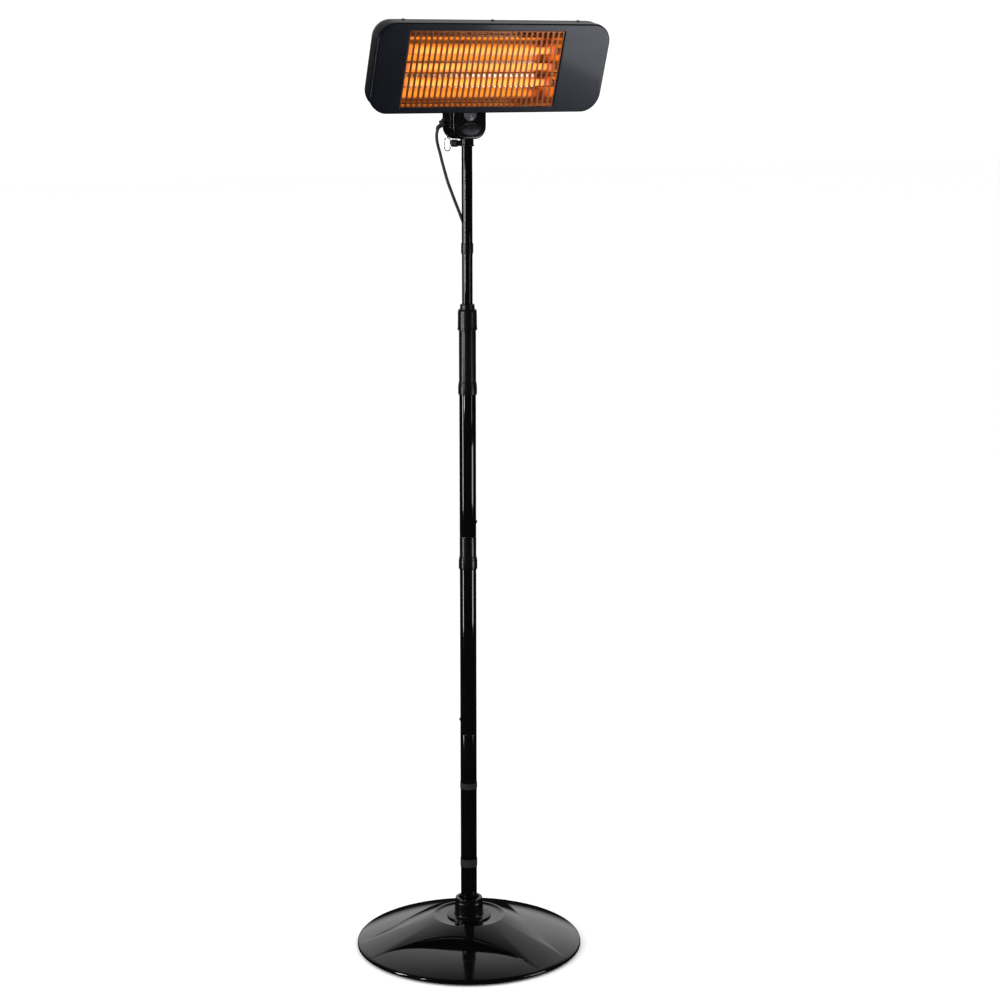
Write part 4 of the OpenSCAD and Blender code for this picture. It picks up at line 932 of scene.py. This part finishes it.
def addKnob(shape):
    # a round grip with soft flutes on a plain screw
    turn = math.radians(shape["turn"])
    axis = (math.cos(turn), math.sin(turn), 0)
    r, z0, z1 = shape["radius"], shape["low"], shape["high"]
    profile = easeCorners([[0, z0], [r * 0.8, z0], [r, z0 + 1.4], [r, z1 - 2.4], [r * 0.72, z1],
                           [0, z1 + 0.2]],
                          [0, 1.0, 1.2, 2.0, 2.4, 0], 6)
    grid = turned(profile, shape["lobes"] * 10)
    angle = np.linspace(0, 2 * math.pi, grid.shape[0], endpoint=False)[:, None]
    grip = np.clip((profile[:, 1] - z0 - 1.0) / 2, 0, 1) * np.clip(profile[:, 0] / r * 2 - 1, 0, 1)
    grid[..., :2] *= (1 - shape["dent"] * (0.5 + 0.5 * np.cos(angle * shape["lobes"])) * grip)[..., None]
    screw = turned([[0, 10.8], [shape["screw"] - 0.4, 10.8], [shape["screw"], 11.2],
                    [shape["screw"], z0 + 1],
                    [0, z0 + 1]], 32)
    middle = (0, 0, shape["height"])
    addPiece("clampKnob", aimed(grid, middle, axis), "knob", "knob", ["clamp_knob"])
    addPiece("clampScrew", aimed(screw, middle, axis), "knob", "zinc")


addNeck()
addKnob(knobShape)

glandShape = {"wall": (-35.5, 27.0, 1678.5), "dip": 53.0, "inside": 2.6, "shank": 5.2, "nut": 7.2,
              "boot": 5.2,
              "tip": 3.5, "ribs": 5}


def addGland(shape):
    # a hexagon nut on the housing's flank, and a tapered boot that bends with the cord
    dip = math.radians(shape["dip"])
    axis = np.array([-math.cos(dip), 0, -math.sin(dip)])
    wall = np.array(shape["wall"])
    nut = aimed(turned(easeCorners([[0, -shape["inside"]], [shape["shank"], -shape["inside"]],
                                    [shape["shank"], 5.0],
                                    [shape["nut"] - 0.6, 5.2], [shape["nut"], 6.0], [shape["nut"], 8.2],
                                    [shape["nut"] - 1.0, 9.0], [0, 9.0]],
                                   [0, 0.4, 0.3, 0.4, 0.6, 0.8, 0.6, 0], 5), 48), wall, axis)
    end = np.array(cordShape["upper"][0], float)
    lead = np.array(cordShape["upper"][1], float) - end
    path = smoothPath([wall + axis * 8.0, wall + axis * 13.0, end - lead / np.linalg.norm(lead) * 5.0,
                       end], 0.5)
    along = np.linspace(0, 1, len(path))
    groove = 0.5 + 0.5 * np.cos(along * math.pi * 2 * shape["ribs"])
    taper = shape["boot"] + (shape["tip"] - shape["boot"]) * along
    width = taper - 0.55 * groove * (1 - along) * (along > 0.08)
    boot = swept(path, circle(1.0, 32), (0, 1, 0), width)
    return addPiece("glandBoot", [nut, boot], "knuckle", "gland", ["cable_gland"])


glandBoot = addGland(glandShape)

eyeShape = {"x": -28.0, "y": 28.0, "turn": -28.0, "wire": 0.95, "half": 5.5, "top": 1644.5, "run": 14.0,
            "stop": 1671.5}


def addPullEye(shape):
    # one bent wire: a long eye that hangs on a straight stem
    turn = np.linspace(0, math.pi, 17)
    low = shape["top"] - shape["half"] - shape["run"]
    over = np.column_stack([shape["half"] * np.cos(turn), 0 * turn,
                            shape["top"] - shape["half"] + shape["half"] * np.sin(turn)])
    under = np.column_stack([-shape["half"] * np.cos(turn), 0 * turn, low - shape["half"] * np.sin(turn)])
    eye = swept(np.vstack([over, under]), circle(shape["wire"], 14), (0, 1, 0), closed=True)
    place = np.array([shape["x"], shape["y"], 0])
    stem = turned(easeCorners([[0, shape["top"] - 0.6], [shape["wire"], shape["top"] - 0.6],
                               [shape["wire"], shape["stop"]], [1.8, shape["stop"]],
                               [1.8, shape["stop"] + 1.6],
                               [0, shape["stop"] + 1.6]], 0.3, 4), 24) + place
    ferrule = turned(easeCorners([[0, shape["top"] - 0.4], [1.7, shape["top"] - 0.4],
                                  [1.7, shape["top"] + 3.4],
                                  [0, shape["top"] + 3.4]], 0.5, 4), 24) + place
    addPiece("pullEye", spun(eye, shape["turn"]) + place, "pull_eye", "wire", ["pull_loop"], loopRows=True)
    addPiece("pullStem", [stem, ferrule], "pull_eye", "wire")


addPullEye(eyeShape)
print("knuckle built")


# Head: a graphite front panel, a domed rear shell, the trough, the grille and three glowing tubes.

headShape = {"shift": 5.0, "reach": 95.83, "height": 1776.03, "tilt": 19.0, "halfWidth": 247.5,
             "halfHeight": 87.75, "corner": 38.0, "sheet": 1.5, "depth": 66.0, "windowX": -20.0,
             "windowZ": -1.25, "windowHalfW": 164.0, "windowHalfH": 74.5, "steps": 14}


def onHead(grid):
    # from the head's own axes, depth backwards and height up its face, to the frame
    tilt = math.radians(headShape["tilt"])
    x, y, z = grid[..., 0], grid[..., 1], grid[..., 2]
    return np.stack([x + headShape["shift"], y * math.cos(tilt) - z * math.sin(tilt) - headShape["reach"],
                     y * math.sin(tilt) + z * math.cos(tilt) + headShape["height"]], -1)


def headOutline(inset):
    s = headShape
    return roundedRect(s["halfWidth"] - inset, s["halfHeight"] - inset, s["corner"] - inset, s["steps"])


def windowOutline(grow):
    s = headShape
    flat = roundedRect(s["windowHalfW"] + grow, s["windowHalfH"] + grow, 3.0 + grow, s["steps"])
    return flat + np.array([s["windowX"], s["windowZ"]])


def addFrontPanel():
    # sheet with a rolled rim and a window whose edge is turned in; one closed loop of outlines
    t, rim, lip, flange = headShape["sheet"], 2.6, 1.4, 9.0
    bend = np.linspace(0, math.pi / 2, 7)
    outer = np.column_stack([rim * (1 - np.cos(bend)), rim * (1 - np.sin(bend))])
    innerBend = np.column_stack([lip * (1 - np.cos(bend[::-1])), lip * (1 - np.sin(bend[::-1]))])

    def level(flat, depth):
        return np.column_stack([flat[:, 0], np.full(len(flat), depth), flat[:, 1]])

    rows = [level(headOutline(0), flange)] + [level(headOutline(i), d) for i, d in outer]
    rows += [level(headOutline(rim) * (1 - s) + windowOutline(lip) * s, 0) for s in (0.04, 0.35, 0.7, 0.97)]
    rows += [level(windowOutline(g), d) for g, d in innerBend]
    rows += [level(windowOutline(0), 1.6), level(windowOutline(lip), 1.6)]
    rows += [level(headOutline(rim) * (1 - s) + windowOutline(lip) * s, t) for s in (0.7, 0.35, 0.04)]
    rows += [level(headOutline(t), rim + t), level(headOutline(t), flange)]
    grid = onHead(np.array(rows))
    return addPiece("frontPanel", grid, "head", "panel", ["front_panel"], loopRows=True)


ventShape = {"count": 13, "width": 3.0, "low": 8.0, "high": 42.0, "pitch": 24.1}


def shellRows(levels):
    # outlines at pairs of inset and depth; their corners keep a little roundness however deep they go
    s = headShape
    return sideways(stacked(lambda i: roundedRect(s["halfWidth"] - i, s["halfHeight"] - i,
                                                  max(s["corner"] - i, 4.0), s["steps"]), levels))


def addRearShell(vent):
    # a deep tray of one sheet: near-straight sides, a broad shoulder and a flat back
    t, s = headShape["sheet"], headShape
    levels = [[1.9, 2.0], [2.6, 20.0], [3.5, 36.0], [9.5, 49.0], [30.0, s["depth"]], [80.0, s["depth"]]]
    outside = easeCorners(levels, [0, 6, 9, 9, 12, 0], 7)
    away = np.gradient(outside, axis=0)
    away /= np.linalg.norm(away, axis=1, keepdims=True)
    inside = outside + t * np.column_stack([away[:, 1], -away[:, 0]])
    outerSkin, innerSkin = shellRows(outside), shellRows(inside)
    poleOut = np.broadcast_to([0, s["depth"], 0], outerSkin[0].shape)[None]
    poleIn = np.broadcast_to([0, s["depth"] - t, 0], outerSkin[0].shape)[None]
    skin = np.concatenate([outerSkin, poleOut, poleIn, innerSkin[::-1]])
    shell = addPiece("rearHousing", onHead(skin), "head", "shell", ["rear_shell"], loopRows=True, angle=28)
    slots = []
    for k in range(vent["count"]):
        x = s["windowX"] + (k - (vent["count"] - 1) / 2) * vent["pitch"]
        flat = roundedRect(vent["width"] / 2, (vent["high"] - vent["low"]) / 2, vent["width"] / 2 - 0.01, 5)
        flat = flat + np.array([x, (vent["high"] + vent["low"]) / 2])
        slots.append(sideways(closedEnds(stacked(lambda i: flat,
                                                 [[0, s["depth"] - 4], [0, s["depth"] + 4]]))))
    cutter = addPiece("ventCutter", [onHead(g) for g in slots], None, "shell")
    cut = shell.modifiers.new("vents", "BOOLEAN")
    cut.operation, cut.object, cut.solver = "DIFFERENCE", cutter, "EXACT"
    bpy.context.view_layer.update()
    graph = bpy.context.evaluated_depsgraph_get()
    solid = bpy.data.meshes.new_from_object(shell.evaluated_get(graph))
    shell.modifiers.clear()
    shell.data = solid
    bpy.data.objects.remove(cutter)
    return shell


addFrontPanel()
addRearShell(ventShape)

coilShape = {"radius": 3.9, "wire": 0.5, "pitch": 3.2, "half": 150.0, "sides": 6, "stepsPerTurn": 12}


def addHeatingCoil(number, shape):
    # resistance wire wound as a helix inside its tube, with straight tails to both caps
    node = "heating_coil_%d" % number
    low, high = lowHigh(node)
    centre = (low + high) / 2
    turns = int(2 * shape["half"] / shape["pitch"])
    t = np.linspace(0, 1, turns * shape["stepsPerTurn"] + 1)
    x = centre[0] + (2 * t - 1) * shape["half"]
    wound = np.column_stack([x, centre[1] + shape["radius"] * np.cos(2 * math.pi * turns * t),
                             centre[2] + shape["radius"] * np.sin(2 * math.pi * turns * t)])
    tails = []
    for side in (-1, 1):
        start = centre[0] + side * shape["half"]
        path = np.column_stack([np.linspace(start, centre[0] + side * (high[0] - low[0]) / 2, 6),
                                np.full(6, centre[1]), np.full(6, centre[2])])
        tails.append(swept(path, circle(1.0, 6), (0, 0, 1)))
    coil = swept(wound, circle(shape["wire"], shape["sides"]), (1, 0, 0))
    addPiece("heatingCoil%d" % number, coil, "head", "coil", [node])
    addPiece("coilTails%d" % number, tails, "head", "zinc")


for number in (1, 2, 3):
    addHeatingCoil(number, coilShape)
print("head built")


# Frame nodes that stay: each takes its finish.

stay = {
    "base_tray": "tray", "base_weight": "iron", "hub_spacer": "steel", "centre_bolt": "zinc",
    "centre_nut": "zinc",
    "lower_joiner": "steel", "upper_joiner": "steel", "glide_bush": "nylon", "snap_button_lower": "zinc",
    "snap_button_upper": "zinc", "pull_switch": "nylon", "knuckle_screws": "zinc", "pivot_bolt": "zinc",
    "pivot_nut": "zinc", "reflector": "reflector", "reflector_ends": "reflector", "grille": "grille",
    "grille_rods": "grille", "quartz_tube_1": "quartz", "quartz_tube_2": "quartz", "quartz_tube_3": "quartz",
    "ceramic_caps": "ceramic", "tube_holders": "steel", "terminal_block": "ceramic",
    "thermal_cutout": "steel",
    "tip_switch": "moulding", "head_bracket": "shell", "head_screws": "zinc", "plug": "plug",
    "hank_straps": "strap",
}
for node, finish in stay.items():
    nodes[node].data.materials.clear()
    nodes[node].data.materials.append(finishes[finish])


# Floor and soft lights: panels stand round the heater, and the floor itself is left out of reflections.

studio = {
    "floorHalf": 30.0, "floorDark": (0.96, 0.96, 0.96), "floorLight": (0.98, 0.98, 0.98),
    "skyDiffuse": 1.1, "glossHigh": 0.8, "glossLow": 0.004, "behindFrom": 0.35, "behindTo": 0.9,
    "climbFrom": 0.02, "climbTo": 0.16, "behind": (0.4816, 0.8764),
    # name, azimuth from the camera's side in degrees, distance, height, width, tall, power
    "panels": [
        ("mastStrip", -71.0, 3.0, 1.00, 0.34, 2.0, 30.0),
        ("tubeStrip", -47.0, 3.0, 1.45, 0.11, 0.8, 14.0),
        ("tubeFill", 58.0, 3.0, 1.15, 0.20, 0.5, 1.6),
        ("panelFill", 69.0, 2.9, 0.38, 0.9, 0.6, 10.0),
    ],
}


def addFloor(settings):
    half = settings["floorHalf"]
    mesh = bpy.data.meshes.new("floor")
    mesh.from_pydata([(-half, -half, 0), (half, -half, 0), (half, half, 0), (-half, half, 0)], [],
                     [(0, 1, 2, 3)])
    floor = bpy.data.objects.new("floor", mesh)
    bpy.context.scene.collection.objects.link(floor)
    material, tree = newFinish("PaleFloor")
    speck = noise(tree, objectPoint(tree), 6.0, 3.0)
    colour = mixColour(tree, speck, opaque(settings["floorDark"]), opaque(settings["floorLight"]))
    finishWith(tree, tree.put("BsdfPrincipled", {}, {"Base Color": colour, "Roughness": 0.8}))
    mesh.materials.append(material)
    floor.visible_glossy = False


def addPanels(settings):
    # each panel looks at the mast's axis from its own side
    for name, azimuth, distance, height, width, tall, power in settings["panels"]:
        lamp = bpy.data.lights.new(name, "AREA")
        lamp.shape = "RECTANGLE"
        lamp.size, lamp.size_y = width, tall
        lamp.energy = power
        light = bpy.data.objects.new(name, lamp)
        turn = math.radians(view["turn"] - azimuth)
        light.location = (-math.sin(turn) * distance, -math.cos(turn) * distance, height)
        light.rotation_euler = (math.radians(90), 0, -turn)
        light.visible_camera = False
        bpy.context.scene.collection.objects.link(light)


def addWorld(settings):
    # white to the eye and on matt surfaces; in gloss it is dark but for a pale wall behind the heater
    world = bpy.data.worlds.new("World")
    bpy.context.scene.world = world
    world.use_nodes = True
    world.node_tree.nodes.clear()
    tree = Wire(world.node_tree)
    way = tree.put("TexCoord", {}, {}, "Generated")
    x, y, z = (tree.put("SeparateXYZ", {}, {"Vector": way}, i) for i in range(3))
    facing = x * settings["behind"][0] + y * settings["behind"][1] - settings["behindFrom"]
    behind = (facing / (settings["behindTo"] - settings["behindFrom"])).clamped()
    climb = ((z - settings["climbFrom"]) / (settings["climbTo"] - settings["climbFrom"])).clamped()
    gloss = settings["glossLow"] + behind * climb * (settings["glossHigh"] - settings["glossLow"])
    isGloss = tree.put("LightPath", {}, {}, "Is Glossy Ray")
    strength = gloss * isGloss + (1 - isGloss) * settings["skyDiffuse"]
    sky = tree.put("Background", {}, {"Color": (1, 1, 1, 1), "Strength": strength})
    tree.put("OutputWorld", {}, {"Surface": sky})


addFloor(studio)
addPanels(studio)
addWorld(studio)
bpy.context.scene.view_settings.view_transform = "Standard"
print("studio lit")
